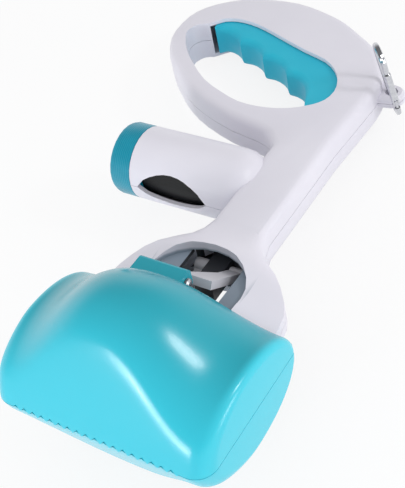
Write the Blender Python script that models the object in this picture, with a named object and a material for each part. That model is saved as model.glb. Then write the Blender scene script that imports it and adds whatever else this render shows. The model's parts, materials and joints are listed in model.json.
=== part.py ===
"""Hand-held pooper scooper: two clam-shell jaws worked by a finger trigger inside a loop handle.

The handle's own frame has X across the jaws, Y from the jaws to the loop and Z through the front face,
with the seam between the two shells, and between the two jaws, on Z = 0. The whole part then lies on its
back on Z = 0 of the world: on the crown of the rear jaw and on the rear rim of the loop.
"""

import math

import bmesh
import bpy
from mathutils import Matrix, Vector

MM = 0.001

# Driving dimensions of the handle
HANDLE_THICKNESS = 23.0 * MM
SHELL_WALL = 2.2 * MM
RIM_RADIUS = 4.5 * MM
NECK_WIDTH = 27.6 * MM
NECK_TOP_Y = 104.0 * MM
LOOP_RIGHT_X = 15.5 * MM
LOOP_WIDTH = 133.5 * MM
LOOP_LEFT_X = LOOP_RIGHT_X - LOOP_WIDTH
LOOP_BASE_Y = 97.0 * MM
LOOP_HEIGHT = 112.0 * MM
CREVICE_Y = 90.5 * MM

# Driving dimensions of the bag dispenser
TUBE_RADIUS = 18.9 * MM
TUBE_WALL = 2.2 * MM
TUBE_AXIS_Y = 68.0 * MM
TUBE_MOUTH_X = -74.0 * MM
CAP_LENGTH = 12.9 * MM
BAG_ROLL_RADIUS = 14.9 * MM

# Driving dimensions of the jaws
JAW_WIDTH = 109.0 * MM
JAW_LENGTH = 76.0 * MM
JAW_BACK_Y = -14.0 * MM
JAW_CROWN = 49.5 * MM
JAW_END_CROWN = 22.5 * MM
JAW_WALL = 2.2 * MM
JAW_FRONT_LEAN = math.radians(23.0)
TOOTH_PITCH = 4.66 * MM
TOOTH_HEIGHT = 2.4 * MM
TOOTH_COUNT = 18

# Driving dimensions of the mechanism
HINGE_Y = -18.0 * MM
HINGE_PIN_RADIUS = 2.0 * MM
LINK_PIN_Y = -15.5 * MM
LINK_PIN_Z = 21.5 * MM
LINK_PIN_RADIUS = 1.9 * MM
YOKE_PIN_Y = 14.0 * MM
ROD_X = 2.2 * MM
ROD_RADIUS = 2.5 * MM
JAW_OPENING = math.radians(25.0)
TRIGGER_TRAVEL = 9.5 * MM

# Clearances
SEAM_GAP = 0.3 * MM
SEAT_GAP = 0.3 * MM
RUNNING_GAP = 0.5 * MM
SWING_GAP = 0.8 * MM
OVERRUN = 1.0 * MM

# Sizes that follow from the driving ones
HALF_THICKNESS = HANDLE_THICKNESS / 2
INNER_HALF = HALF_THICKNESS - SHELL_WALL
HALF_NECK = NECK_WIDTH / 2

COLOURS = {
    "grey": (0.84, 0.83, 0.87, 1.0),
    "cyan": (0.05, 0.47, 0.63, 1.0),
    "black": (0.02, 0.02, 0.022, 1.0),
    "steel": (0.62, 0.62, 0.63, 1.0),
    "card": (0.55, 0.45, 0.33, 1.0),
}
FINISHES = {"grey": (0.38, 0.0), "cyan": (0.28, 0.0), "black": (0.5, 0.0), "steel": (0.2, 1.0), "card": (0.8, 0.0)}


# Scene and small tools

VOLUME_SLACK_SHARE = 0.0001

for old in list(bpy.data.objects):
    bpy.data.objects.remove(old)

level_frame = bpy.data.objects.new("level_frame", None)
bpy.context.collection.objects.link(level_frame)


def finish(name, kind):
    material = bpy.data.materials.new(name)
    material.use_nodes = True
    shader = material.node_tree.nodes["Principled BSDF"]
    roughness, metallic = FINISHES[kind]
    shader.inputs["Base Color"].default_value = COLOURS[kind]
    shader.inputs["Roughness"].default_value = roughness
    shader.inputs["Metallic"].default_value = metallic
    return material


def body(mesh_data, name="shape"):
    mesh = bpy.data.meshes.new(name)
    bmesh.ops.recalc_face_normals(mesh_data, faces=mesh_data.faces)
    mesh_data.to_mesh(mesh)
    mesh_data.free()
    shape = bpy.data.objects.new(name, mesh)
    bpy.context.collection.objects.link(shape)
    return shape


def measure(mesh_data):
    """Volume of a mesh, and whether it is closed."""
    probe = bmesh.new()
    probe.from_mesh(mesh_data)
    closed = all(len(edge.link_faces) == 2 for edge in probe.edges)
    volume = probe.calc_volume()
    probe.free()
    return volume, closed


def believable(result, base, other, operation):
    """A boolean's volume lies between limits that its two shapes set."""
    volume, closed = measure(result)
    first = measure(base)[0]
    second = measure(other)[0]
    slack = VOLUME_SLACK_SHARE * (first + second)
    least, most = {
        "UNION": (max(first, second), first + second),
        "DIFFERENCE": (first - second, first),
        "INTERSECT": (0.0, min(first, second)),
    }[operation]
    return closed and volume > 0.0 and least - slack <= volume <= most + slack


def combine(base, others, operation):
    """Join, cut or intersect a shape with others, which are used up."""
    for other in others:
        for solver in ("EXACT", "MANIFOLD"):
            modifier = base.modifiers.new("combine", "BOOLEAN")
            modifier.operation = operation
            modifier.solver = solver
            modifier.object = other
            bpy.context.view_layer.update()
            graph = bpy.context.evaluated_depsgraph_get()
            shaped = bpy.data.meshes.new_from_object(base.evaluated_get(graph))
            base.modifiers.clear()
            if believable(shaped, base.data, other.data, operation):
                break
        base.data = shaped
        bpy.data.objects.remove(other)
    return base


def join(base, *others):
    return combine(base, others, "UNION")


def cut(base, *others):
    return combine(base, others, "DIFFERENCE")


def keep(base, *others):
    return combine(base, others, "INTERSECT")


def copy_of(shape):
    twin = shape.copy()
    twin.data = shape.data.copy()
    bpy.context.collection.objects.link(twin)
    return twin


def place(shape, name, kind, origin=(0.0, 0.0, 0.0), smooth_angle=math.radians(32.0)):
    """Name a finished piece, give it its finish and put its origin on its joint."""
    origin = Vector(origin)
    cleaned = bmesh.new()
    cleaned.from_mesh(shape.data)
    bmesh.ops.dissolve_degenerate(cleaned, dist=SEAM_GAP / 30, edges=cleaned.edges)
    bmesh.ops.translate(cleaned, verts=cleaned.verts, vec=-origin)
    cleaned.to_mesh(shape.data)
    cleaned.free()
    shape.name = name
    shape.data.name = name
    shape.data.materials.clear()
    shape.data.materials.append(finish(name, kind))
    for face in shape.data.polygons:
        face.use_smooth = True
    shape.data.set_sharp_from_angle(angle=smooth_angle)
    shape.parent = level_frame
    shape.location = origin
    return shape


# Outlines

def smooth_path(points, steps, closed=False):
    """A Catmull-Rom curve through the points."""
    count = len(points)
    path = []
    for index in range(count if closed else count - 1):
        if closed:
            a, b, c, d = (points[(index + shift) % count] for shift in (-1, 0, 1, 2))
        else:
            a, b, c, d = (points[min(max(index + shift, 0), count - 1)] for shift in (-1, 0, 1, 2))
        for step in range(steps):
            t = step / steps
            path.append(tuple(
                0.5 * (2 * q + (r - p) * t + (2 * p - 5 * q + 4 * r - s) * t * t + (3 * q - p - 3 * r + s) * t ** 3)
                for p, q, r, s in zip(a, b, c, d)))
    if not closed:
        path.append(tuple(points[-1]))
    return path


def turning(outline):
    """1 for a counter-clockwise outline, -1 for a clockwise one."""
    pairs = zip(outline, outline[1:] + outline[:1])
    return math.copysign(1.0, sum(a[0] * b[1] - b[0] * a[1] for a, b in pairs))


def offset_outline(outline, distance):
    """Move each point of an outline outwards."""
    moved = []
    count = len(outline)
    distance *= turning(outline)
    for index, point in enumerate(outline):
        before = Vector(outline[index - 1])
        here = Vector(point)
        after = Vector(outline[(index + 1) % count])
        first = (here - before).normalized()
        second = (after - here).normalized()
        normal = Vector((first.y + second.y, -first.x - second.x)).normalized()
        stretch = max(normal.dot(Vector((first.y, -first.x))), 0.5)
        moved.append(tuple(here + normal * (distance / stretch)))
    return moved


def prism(outline, levels):
    """Stack copies of an outline; each level is its height and how far the outline is offset there."""
    mesh = bmesh.new()
    rings = []
    for height, offset in levels:
        shifted = offset_outline(outline, offset) if offset else outline
        rings.append([mesh.verts.new((x, y, height)) for x, y in shifted])
    for low, high in zip(rings, rings[1:]):
        for index in range(len(low)):
            after = (index + 1) % len(low)
            mesh.faces.new((low[index], low[after], high[after], high[index]))
    mesh.faces.new(list(reversed(rings[0])))
    mesh.faces.new(rings[-1])
    return body(mesh)


def rim_levels(half, radius, steps=3):
    """Levels of a plate whose two rims are rounded."""
    arc = [math.radians(90.0) * step / steps for step in range(steps + 1)]
    top = [(half - radius + radius * math.sin(angle), -radius * (1 - math.cos(angle))) for angle in arc]
    return [(-height, offset) for height, offset in reversed(top)] + top


def lathe(profile, axis_point, segments=32, axis="X"):
    """Turn a profile of (place along the axis, radius) round an axis."""
    mesh = bmesh.new()
    rings = []
    for along, radius in profile:
        ring = []
        for index in range(segments):
            angle = 2 * math.pi * index / segments
            u = radius * math.cos(angle)
            v = radius * math.sin(angle)
            spot = {"X": (along, u, v), "Y": (v, along, u), "Z": (u, v, along)}[axis]
            ring.append(mesh.verts.new(Vector(spot) + Vector(axis_point)))
        rings.append(ring)
    for low, high in zip(rings, rings[1:]):
        for index in range(segments):
            after = (index + 1) % segments
            mesh.faces.new((low[index], low[after], high[after], high[index]))
    mesh.faces.new(list(reversed(rings[0])))
    mesh.faces.new(rings[-1])
    return body(mesh)


def bar(low, high):
    """A plain block between two corners."""
    mesh = bmesh.new()
    bmesh.ops.create_cube(mesh, size=1.0)
    low, high = Vector(low), Vector(high)
    for vert in mesh.verts:
        share = vert.co + Vector((0.5, 0.5, 0.5))
        vert.co = Vector(a + (b - a) * s for a, b, s in zip(low, high, share))
    return body(mesh)


def side_prism(outline, x0, x1):
    """An outline of (y, z) points drawn out from x0 to x1."""
    mesh = bmesh.new()
    near = [mesh.verts.new((x0, y, z)) for y, z in outline]
    far = [mesh.verts.new((x1, y, z)) for y, z in outline]
    for index in range(len(outline)):
        after = (index + 1) % len(outline)
        mesh.faces.new((near[index], near[after], far[after], far[index]))
    mesh.faces.new(list(reversed(near)))
    mesh.faces.new(far)
    return body(mesh)


def disc_outline(y, z, radius, segments=24):
    turns = [2 * math.pi * index / segments for index in range(segments)]
    return [(y + radius * math.cos(turn), z + radius * math.sin(turn)) for turn in turns]


# Handle outlines: shares of the loop's width and height

LOOP_OUTLINE_SHARES = (
    (1.0, 0.33), (1.0, 0.52), (0.944, 0.670), (0.869, 0.768), (0.794, 0.830), (0.689, 0.911), (0.577, 0.964),
    (0.442, 1.0), (0.307, 0.991), (0.187, 0.955), (0.082, 0.875), (0.019, 0.777), (0.0, 0.661), (0.015, 0.536),
    (0.075, 0.411), (0.165, 0.304), (0.255, 0.214), (0.375, 0.134), (0.532, 0.067), (0.667, 0.036), (0.734, 0.004))
FINGER_HOLE_SHARES = (
    (0.794, 0.223), (0.757, 0.196), (0.697, 0.170), (0.622, 0.156), (0.532, 0.161), (0.434, 0.201), (0.330, 0.259),
    (0.225, 0.357), (0.142, 0.455), (0.090, 0.545), (0.075, 0.607), (0.097, 0.661), (0.133, 0.679))
TRIGGER_POCKET_SHARES = (
    (0.154, 0.705), (0.187, 0.746), (0.240, 0.763), (0.307, 0.759), (0.390, 0.732), (0.494, 0.683), (0.629, 0.621),
    (0.734, 0.580), (0.801, 0.522), (0.846, 0.446), (0.865, 0.366), (0.854, 0.295), (0.824, 0.250))
FINGER_CREST_SHARES = ((0.160, 0.690), (0.311, 0.629), (0.457, 0.549), (0.607, 0.464), (0.734, 0.366))
FINGER_HOLLOW = 3.2 * MM
LOOP_STEPS = 2


def on_loop(shares):
    return [(LOOP_LEFT_X + LOOP_WIDTH * u, LOOP_BASE_Y + LOOP_HEIGHT * v) for u, v in shares]


def body_outline():
    """Neck and loop, counter-clockwise from the foot of the neck on the right."""
    foot_y = FLARE_TOP_Y - NECK_OVERLAP
    loop = smooth_path([(HALF_NECK, NECK_TOP_Y)] + on_loop(LOOP_OUTLINE_SHARES) + [(-HALF_NECK, CREVICE_Y)], LOOP_STEPS)
    return [(HALF_NECK, foot_y)] + loop + [(-HALF_NECK, foot_y)]


def hole_edge():
    return smooth_path(on_loop(FINGER_HOLE_SHARES), LOOP_STEPS)


def pocket_edge():
    return smooth_path(on_loop(TRIGGER_POCKET_SHARES), LOOP_STEPS)


def opening_outline(grown=0.0):
    """The finger hole and the trigger's pocket as one opening."""
    return offset_outline(hole_edge() + pocket_edge(), grown)


def grown_hole_edge(grown):
    return opening_outline(grown)[:len(hole_edge())]


def grown_pocket_edge(grown):
    return opening_outline(grown)[len(hole_edge()):]


# Skirt: the neck flares towards the hinges

FLARE_TOP_Y = 46.0 * MM
NECK_OVERLAP = 16.0 * MM
SKIRT_END_Y = -22.0 * MM
JAW_END_MARGIN = 9.9 * MM
SKIRT_HALF_WIDTH = JAW_WIDTH / 2 - JAW_END_MARGIN
SKIRT_DRUM_RADIUS = 20.6 * MM
SKIRT_STATION_SHARES = (
    (1.0, 0.0, 0.0, 0.0), (0.86, 0.004, 0.0, 0.0), (0.735, 0.08, 0.02, 0.04), (0.65, 0.19, 0.12, 0.15),
    (0.58, 0.35, 0.34, 0.33), (0.51, 0.56, 0.52, 0.55), (0.44, 0.72, 0.60, 0.75), (0.36, 0.86, 0.65, 0.92),
    (0.28, 0.95, 0.71, 1.0), (0.18, 0.99, 0.83, 1.0), (0.11, 1.0, 0.94, 1.0), (0.0, 1.0, 0.98, 1.0))
TENT_SHARES = ((0.0, 1.0), (0.2, 0.96), (0.42, 0.80), (0.62, 0.59), (0.76, 0.48), (0.88, 0.36), (1.0, 0.24))
SECTION_HALF = 6
SQUARENESS = 0.42
SECTION_START = math.radians(24.0)
SWING_REACH_SHARE = 0.64


def share_of(table, place_share):
    """Read a table of (place, value) shares at one place."""
    for (a, low), (b, high) in zip(table, table[1:]):
        if place_share <= b:
            return low + (high - low) * (place_share - a) / (b - a)
    return table[-1][1]


def drum_radius(x):
    """How far the skirt reaches from the hinge axis, x from the middle."""
    return SKIRT_DRUM_RADIUS * share_of(TENT_SHARES, min(abs(x) / SKIRT_HALF_WIDTH, 1.0))


def skirt_height(x, y, half_height):
    """Height of the flared skirt, kept inside the jaws' swing near the hinges."""
    flare = half_height * share_of(TENT_SHARES, min(abs(x) / SKIRT_HALF_WIDTH, 1.0))
    drum = drum_radius(x)
    if y < HINGE_Y + SWING_REACH_SHARE * drum:
        flare = min(flare, math.sqrt(max(drum ** 2 - (y - HINGE_Y) ** 2, (drum * SWING_REACH_SHARE) ** 2)))
    return flare


def skirt_section(station, inset):
    """One closed section of the skirt, half rounded box and half tent."""
    along, spread, rise, tent = station
    y = SKIRT_END_Y + (FLARE_TOP_Y - SKIRT_END_Y) * along
    inner_neck = HALF_NECK - SEAM_GAP
    inner_thickness = HALF_THICKNESS - SEAM_GAP
    half_width = inner_neck + (SKIRT_HALF_WIDTH - inner_neck) * spread - inset
    half_height = inner_thickness + (SKIRT_DRUM_RADIUS - inner_thickness) * rise
    top = []
    for index in range(2 * SECTION_HALF + 1):
        angle = SECTION_START + (math.pi - 2 * SECTION_START) * index / (2 * SECTION_HALF)
        c, s = math.cos(angle), math.sin(angle)
        box_x = half_width * math.copysign(abs(c) ** SQUARENESS, c) / math.cos(SECTION_START) ** SQUARENESS
        box_z = (half_height - inset) * s ** SQUARENESS
        tent_x = half_width * c / math.cos(SECTION_START)
        tent_z = max(skirt_height(tent_x, y, half_height) - inset, SEAM_GAP)
        top.append((box_x + (tent_x - box_x) * tent, box_z + (tent_z - box_z) * tent))
    return y, top + [(x, -z) for x, z in reversed(top)]


def skirt_loft(inset, extra=0.0):
    mesh = bmesh.new()
    rings = []
    stations = [skirt_section(station, inset) for station in SKIRT_STATION_SHARES]
    last_y, last_ring = stations[-1]
    stations[-1] = (last_y - extra, last_ring)
    for y, ring in stations:
        rings.append([mesh.verts.new((x, y, z)) for x, z in ring])
    for low, high in zip(rings, rings[1:]):
        for index in range(len(low)):
            after = (index + 1) % len(low)
            mesh.faces.new((low[index], low[after], high[after], high[index]))
    mesh.faces.new(list(reversed(rings[0])))
    mesh.faces.new(rings[-1])
    return body(mesh)


# Dispenser tube: (place along X, radius) of its outside, with a rounded root in the neck

TUBE_ROOT_X = -22.0 * MM
TUBE_ROOT_SHARES = ((0.0, 1.0), (0.33, 0.97), (0.61, 0.87), (0.82, 0.71), (0.95, 0.52))
TUBE_ROOT_LENGTH = 15.0 * MM
WINDOW_LEFT_X = -70.0 * MM
WINDOW_RIGHT_X = -29.0 * MM
WINDOW_RISE = 10.5 * MM
WINDOW_DROP = 6.6 * MM
WINDOW_FULLNESS = 0.62


def tube_profile(inset, mouth_x):
    straight = [(mouth_x, TUBE_RADIUS - inset)]
    reach = TUBE_ROOT_LENGTH - 2 * inset
    root = [(TUBE_ROOT_X + reach * u - inset / 2, (TUBE_RADIUS - inset) * v) for u, v in TUBE_ROOT_SHARES]
    return straight + root


def tube(inset, mouth_x):
    return lathe(tube_profile(inset, mouth_x), (0.0, TUBE_AXIS_Y, 0.0), 28)


def window_cutter():
    """The eye-shaped window faces the jaws."""
    steps = 10
    width = WINDOW_RIGHT_X - WINDOW_LEFT_X
    top = [(WINDOW_LEFT_X + width * i / steps, WINDOW_RISE * math.sin(math.pi * i / steps) ** WINDOW_FULLNESS) for i in range(steps)]
    low = [(WINDOW_RIGHT_X - width * i / steps, -WINDOW_DROP * math.sin(math.pi * i / steps) ** WINDOW_FULLNESS) for i in range(steps)]
    mesh = bmesh.new()
    near_y = TUBE_AXIS_Y - TUBE_RADIUS - OVERRUN
    near = [mesh.verts.new((x, near_y, z)) for x, z in top + low]
    far = [mesh.verts.new((x, TUBE_AXIS_Y - TUBE_RADIUS / 3, z)) for x, z in top + low]
    for index in range(len(near)):
        after = (index + 1) % len(near)
        mesh.faces.new((near[index], near[after], far[after], far[index]))
    mesh.faces.new(list(reversed(near)))
    mesh.faces.new(far)
    return body(mesh)


# Eyelet for the snap hook

EYELET_X = 20.5 * MM
EYELET_Y = LOOP_BASE_Y + 0.53125 * LOOP_HEIGHT
EYELET_RADIUS = 6.6 * MM
EYELET_HOLE_RADIUS = 3.4 * MM
EYELET_HALF = 3.4 * MM
EYELET_RIM = 1.2 * MM


def eyelet():
    sides = 12
    arc = [-math.pi / 2 + math.pi * index / sides for index in range(sides + 1)]
    nose = [(EYELET_X + EYELET_RADIUS * math.cos(a), EYELET_Y + EYELET_RADIUS * math.sin(a)) for a in arc]
    root_x = EYELET_X - 2 * EYELET_RADIUS
    flare = EYELET_RADIUS * 1.35
    outline = [(root_x, EYELET_Y - flare)] + nose + [(root_x, EYELET_Y + flare)]
    return prism(outline, rim_levels(EYELET_HALF, EYELET_RIM, 1))


def upright_cylinder(x, y, radius, low, high, segments=12):
    return lathe([(low, radius), (high, radius)], (x, y, 0.0), segments, "Z")


# Recess under the hood, and the opening for the link

RECESS_HALF_WIDTH = 25.0 * MM
RECESS_TOP_Y = 15.0 * MM
RECESS_ARCH = 22.0 * MM
RECESS_FLOOR_Z = 9.5 * MM
LINK_ROOM = 3.5 * MM
LINK_OPENING_SHARES = (
    (-0.50, 0.0), (-0.50, 0.5), (-0.38, 0.62), (-0.54, 1.0), (0.60, 1.0), (0.64, 0.3), (0.64, 0.08), (0.60, 0.0))


def recess(grown, floor_z, side):
    """Block above the recess floor, front (side 1) or rear (side -1)."""
    half = RECESS_HALF_WIDTH + grown
    spring_y = RECESS_TOP_Y - RECESS_ARCH
    steps = 12
    arch = [math.pi * index / steps for index in range(steps + 1)]
    outline = [(half * math.cos(a), spring_y + (RECESS_ARCH + grown) * math.sin(a)) for a in arch]
    foot_y = SKIRT_END_Y - 4 * OVERRUN
    outline = outline + [(-half, foot_y), (half, foot_y)]
    heights = sorted((side * floor_z, side * (SKIRT_DRUM_RADIUS + 3 * OVERRUN)))
    return prism(outline, [(height, 0.0) for height in heights])


def link_opening(side):
    """Angular opening in the recess floor; the rear one is turned half a turn about Y."""
    reach = RECESS_TOP_Y - SKIRT_END_Y + 2 * OVERRUN
    reach += LINK_ROOM
    outline = [(side * RECESS_HALF_WIDTH * u, RECESS_TOP_Y + LINK_ROOM - reach * v) for u, v in LINK_OPENING_SHARES]
    heights = sorted((side * (RECESS_FLOOR_Z - SHELL_WALL - OVERRUN), side * (RECESS_FLOOR_Z + OVERRUN)))
    return prism(outline, [(height, 0.0) for height in heights])


# Screws: (x, y) places in the handle

SCREW_HEAD_RADIUS = 2.5 * MM
SCREW_HEAD_HEIGHT = 1.5 * MM
SCREW_SHANK_RADIUS = 1.2 * MM
BOSS_RADIUS = 3.2 * MM
SCREW_LENGTH = 17.0 * MM
SCREW_PLACES = (
    (LOOP_LEFT_X + 0.05 * LOOP_WIDTH, LOOP_BASE_Y + 0.63 * LOOP_HEIGHT),
    (LOOP_LEFT_X + 0.345 * LOOP_WIDTH, LOOP_BASE_Y + 0.935 * LOOP_HEIGHT),
    (HALF_NECK - 1.2 * BOSS_RADIUS, EYELET_Y - 2.8 * EYELET_RADIUS),
    (-HALF_NECK + 1.8 * BOSS_RADIUS, LOOP_BASE_Y + 0.09 * LOOP_HEIGHT),
    (-HALF_NECK + 1.8 * BOSS_RADIUS, FLARE_TOP_Y - 2 * BOSS_RADIUS),
    (-0.70 * SKIRT_HALF_WIDTH, 0.1 * FLARE_TOP_Y),
    (0.70 * SKIRT_HALF_WIDTH, 0.1 * FLARE_TOP_Y),
)


def screw_seat_z(place_index):
    """Height of the flat seat under a screw's head, on the rear side."""
    return -INNER_HALF if place_index < 5 else -0.55 * INNER_HALF


def screw_top_z(place_index):
    return 0.62 * INNER_HALF if place_index < 5 else 0.36 * INNER_HALF


def screw_hole(place_index):
    x, y = SCREW_PLACES[place_index]
    seat = screw_seat_z(place_index)
    bore = SCREW_SHANK_RADIUS + SEAT_GAP
    counterbore = SCREW_HEAD_RADIUS + SEAT_GAP
    profile = [(-HALF_THICKNESS - 3 * OVERRUN, counterbore), (seat, counterbore), (seat, bore)]
    profile.append((screw_top_z(place_index) + SEAT_GAP, bore))
    return lathe(profile, (x, y, 0.0), 12, "Z")


def housing_screw(place_index):
    x, y = SCREW_PLACES[place_index]
    seat = screw_seat_z(place_index) - SEAT_GAP
    head = seat - SCREW_HEAD_HEIGHT
    dome = SCREW_HEAD_RADIUS * 0.7
    profile = [(head, dome), (head + SCREW_HEAD_HEIGHT / 2, SCREW_HEAD_RADIUS), (seat, SCREW_HEAD_RADIUS)]
    profile += [(seat, SCREW_SHANK_RADIUS), (screw_top_z(place_index), SCREW_SHANK_RADIUS)]
    screw = lathe(profile, (x, y, 0.0), 12, "Z")
    slot = SCREW_SHANK_RADIUS * 0.35
    length = SCREW_HEAD_RADIUS * 0.6
    low = head - OVERRUN
    high = head + SCREW_HEAD_HEIGHT * 0.4
    return cut(screw, bar((x - length, y - slot, low), (x + length, y + slot, high)))


# Return spring: a wound wire between the collar on the rod and the rib in the neck

SPRING_RIB_Y = 97.5 * MM
SPRING_RIB = 2.4 * MM
SPRING_LOW_Y = 58.0 * MM
SPRING_RADIUS = 4.4 * MM
SPRING_WIRE = 1.0 * MM
SPRING_CURLS = 8
SPRING_POINTS = 8


def spring_points():
    low = SPRING_LOW_Y + SPRING_WIRE / 2 + SEAT_GAP
    high = SPRING_RIB_Y - SPRING_WIRE / 2 - SEAT_GAP
    count = SPRING_CURLS * SPRING_POINTS
    points = []
    for index in range(count + 1):
        turn = 2 * math.pi * index / SPRING_POINTS
        climb = low + (high - low) * index / count
        points.append((ROD_X + SPRING_RADIUS * math.cos(turn), climb, SPRING_RADIUS * math.sin(turn)))
    return points


def curl_gap(points):
    """Least gap of the wire to itself, measured between points a curl apart."""
    gaps = []
    for index, point in enumerate(points):
        for other in points[index + SPRING_POINTS // 2:]:
            gaps.append((Vector(point) - Vector(other)).length - SPRING_WIRE)
    return min(gaps)


def wire(points, thickness, resolution=1, closed=False):
    curve = bpy.data.curves.new("wire", "CURVE")
    curve.dimensions = "3D"
    curve.bevel_depth = thickness / 2
    curve.bevel_resolution = resolution
    curve.use_fill_caps = True
    spline = curve.splines.new("POLY")
    spline.points.add(len(points) - 1)
    for spot, point in zip(spline.points, points):
        spot.co = (*point, 1.0)
    spline.use_cyclic_u = closed
    holder = bpy.data.objects.new("wire", curve)
    bpy.context.collection.objects.link(holder)
    bpy.context.view_layer.update()
    mesh = bpy.data.meshes.new_from_object(holder.evaluated_get(bpy.context.evaluated_depsgraph_get()))
    bpy.data.objects.remove(holder)
    welded = bmesh.new()
    welded.from_mesh(mesh)
    bmesh.ops.remove_doubles(welded, verts=welded.verts, dist=SEAM_GAP / 30)
    welded.to_mesh(mesh)
    welded.free()
    shape = bpy.data.objects.new("wire", mesh)
    bpy.context.collection.objects.link(shape)
    return shape


# Handle: outside, cavity, then two shells

HINGE_BOSS_LENGTH = 11.6 * MM
HINGE_BOSS_INNER_X = SKIRT_HALF_WIDTH - HINGE_BOSS_LENGTH
HINGE_BOSS_RADIUS = 5.6 * MM
ROD_GUIDE_Y = 38.0 * MM


def handle_outside():
    shape = prism(body_outline(), rim_levels(HALF_THICKNESS, RIM_RADIUS, 3))
    return join(shape, skirt_loft(0.0), tube(0.0, TUBE_MOUTH_X), eyelet())


def handle_cavity():
    inner = prism(offset_outline(body_outline(), -SHELL_WALL), [(-INNER_HALF, 0.0), (INNER_HALF, 0.0)])
    cavity = join(inner, skirt_loft(SHELL_WALL, 2 * OVERRUN), tube(TUBE_WALL, TUBE_MOUTH_X - OVERRUN))
    hole_wall = prism(grown_hole_edge(SHELL_WALL), [(-HALF_THICKNESS, 0.0), (HALF_THICKNESS, 0.0)])
    cavity = cut(cavity, hole_wall)
    for side in (1, -1):
        cavity = cut(cavity, recess(SHELL_WALL, RECESS_FLOOR_Z - SHELL_WALL, side))
    for x, y in SCREW_PLACES:
        cavity = cut(cavity, upright_cylinder(x, y, BOSS_RADIUS, -SKIRT_DRUM_RADIUS, SKIRT_DRUM_RADIUS))
    for y in (SPRING_RIB_Y, ROD_GUIDE_Y):
        rib = bar((-HALF_NECK, y, -HALF_THICKNESS), (HALF_NECK, y + SPRING_RIB, HALF_THICKNESS))
        cavity = cut(cavity, rib)
    for side in (1, -1):
        ends = sorted((side * HINGE_BOSS_INNER_X, side * (SKIRT_HALF_WIDTH + OVERRUN)))
        boss = lathe([(x, HINGE_BOSS_RADIUS) for x in ends], (0.0, HINGE_Y, 0.0), 24)
        cavity = cut(cavity, boss)
    return cavity


def handle_cutters():
    """Everything that is cut through both shells."""
    reach = HALF_THICKNESS + 2 * OVERRUN
    opening = prism(opening_outline(), [(-reach, 0.0), (reach, 0.0)])
    eye = upright_cylinder(EYELET_X, EYELET_Y, EYELET_HOLE_RADIUS, -reach, reach)
    rod_way = lathe([(ROD_GUIDE_Y - OVERRUN, ROD_RADIUS + RUNNING_GAP),
                     (SPRING_RIB_Y + SPRING_RIB + OVERRUN, ROD_RADIUS + RUNNING_GAP)],
                    (ROD_X, 0.0, 0.0), 24, "Y")
    cutters = [opening, eye, rod_way, window_cutter()]
    for side in (1, -1):
        ends = sorted((side * (HINGE_BOSS_INNER_X + SHELL_WALL), side * (SKIRT_HALF_WIDTH + OVERRUN)))
        bore = HINGE_PIN_RADIUS + SEAT_GAP
        cutters.append(lathe([(x, bore) for x in ends], (0.0, HINGE_Y, 0.0), 24))
        cutters.append(recess(0.0, RECESS_FLOOR_Z, side))
        cutters.append(link_opening(side))
    cutters += [screw_hole(index) for index in range(len(SCREW_PLACES))]
    return cutters


def handle_shells():
    handle = cut(handle_outside(), handle_cavity())
    handle = cut(handle, *handle_cutters())
    far = 2 * LOOP_WIDTH
    high = 2 * JAW_CROWN
    front_half = bar((-far, -far, SEAM_GAP / 2), (far, far, high))
    rear_half = bar((-far, -far, -high), (far, far, -SEAM_GAP / 2))
    rear = keep(copy_of(handle), rear_half)
    front = keep(handle, front_half)
    place(front, "front_handle_shell", "grey")
    place(rear, "rear_handle_shell", "grey")


# Jaws: one clam shell, used twice

JAW_ROOF_HALF = 38.0 * MM
JAW_LIP_REACH = JAW_LENGTH - JAW_ROOF_HALF
JAW_AXIS_Y = JAW_BACK_Y - JAW_ROOF_HALF
CROWN_HALF_WIDTH = 52.0 * MM
CROWN_FALL = 1.2
CREASE_POWER = 28
ROOF_BACK_POWER = 2.0
ROOF_END_ROUND = 4.0 * MM
LIP_END_ROUND = 9.5 * MM
JAW_STATION_SHARES = (0.0, 0.12, 0.25, 0.38, 0.51, 0.63, 0.74, 0.83, 0.9, 0.955, 0.988, 1.0)
FRONT_ROW_SHARES = (0.0, 0.42, 0.8, 0.94, 1.0)
ROOF_ROW_SHARES = (0.045, 0.12, 0.27, 0.43, 0.6, 0.78, 1.0)
SEAM_OVERLAP_TURN = math.radians(2.4)
TOOTH_ZONE_Y = -80.0 * MM
EAR_RADIUS = 4.6 * MM
EAR_THICKNESS = 3.2 * MM
EAR_START_X = SKIRT_HALF_WIDTH + 0.4 * MM
EAR_STEP = 3.6 * MM
TAB_LEFT_X = -20.5 * MM
TAB_RIGHT_X = 4.5 * MM
TAB_BACK_Y = -11.0 * MM
TAB_TOP_Z = 26.8 * MM
TAB_ROOF = 1.3 * MM
TAB_FOOT_Z = 17.5 * MM
SLOT_LEFT_X = -3.1 * MM
SLOT_RIGHT_X = 1.7 * MM


def crown_height(x):
    share = min(abs(x) / CROWN_HALF_WIDTH, 1.0) ** CROWN_FALL
    return JAW_END_CROWN + (JAW_CROWN - JAW_END_CROWN) * math.cos(math.pi / 2 * share) ** 2


def panel_and_roof(turn, crown):
    """How far the front panel and the roof lie from the jaw's axis at one turn up from the lip."""
    lean = math.cos(turn - JAW_FRONT_LEAN)
    panel = JAW_LIP_REACH * math.cos(JAW_FRONT_LEAN) / max(lean, 0.05)
    power = ROOF_BACK_POWER if math.cos(turn) < 0.0 else 2.0
    along, rise = abs(math.cos(turn)) / JAW_ROOF_HALF, abs(math.sin(turn)) / crown
    roof = (along ** power + rise ** power) ** (-1 / power)
    return panel, roof


def crease_turn(crown):
    low, high = 0.0, math.radians(88.0)
    for _ in range(30):
        middle = (low + high) / 2
        panel, roof = panel_and_roof(middle, crown)
        low, high = (middle, high) if panel < roof else (low, middle)
    return low


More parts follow.
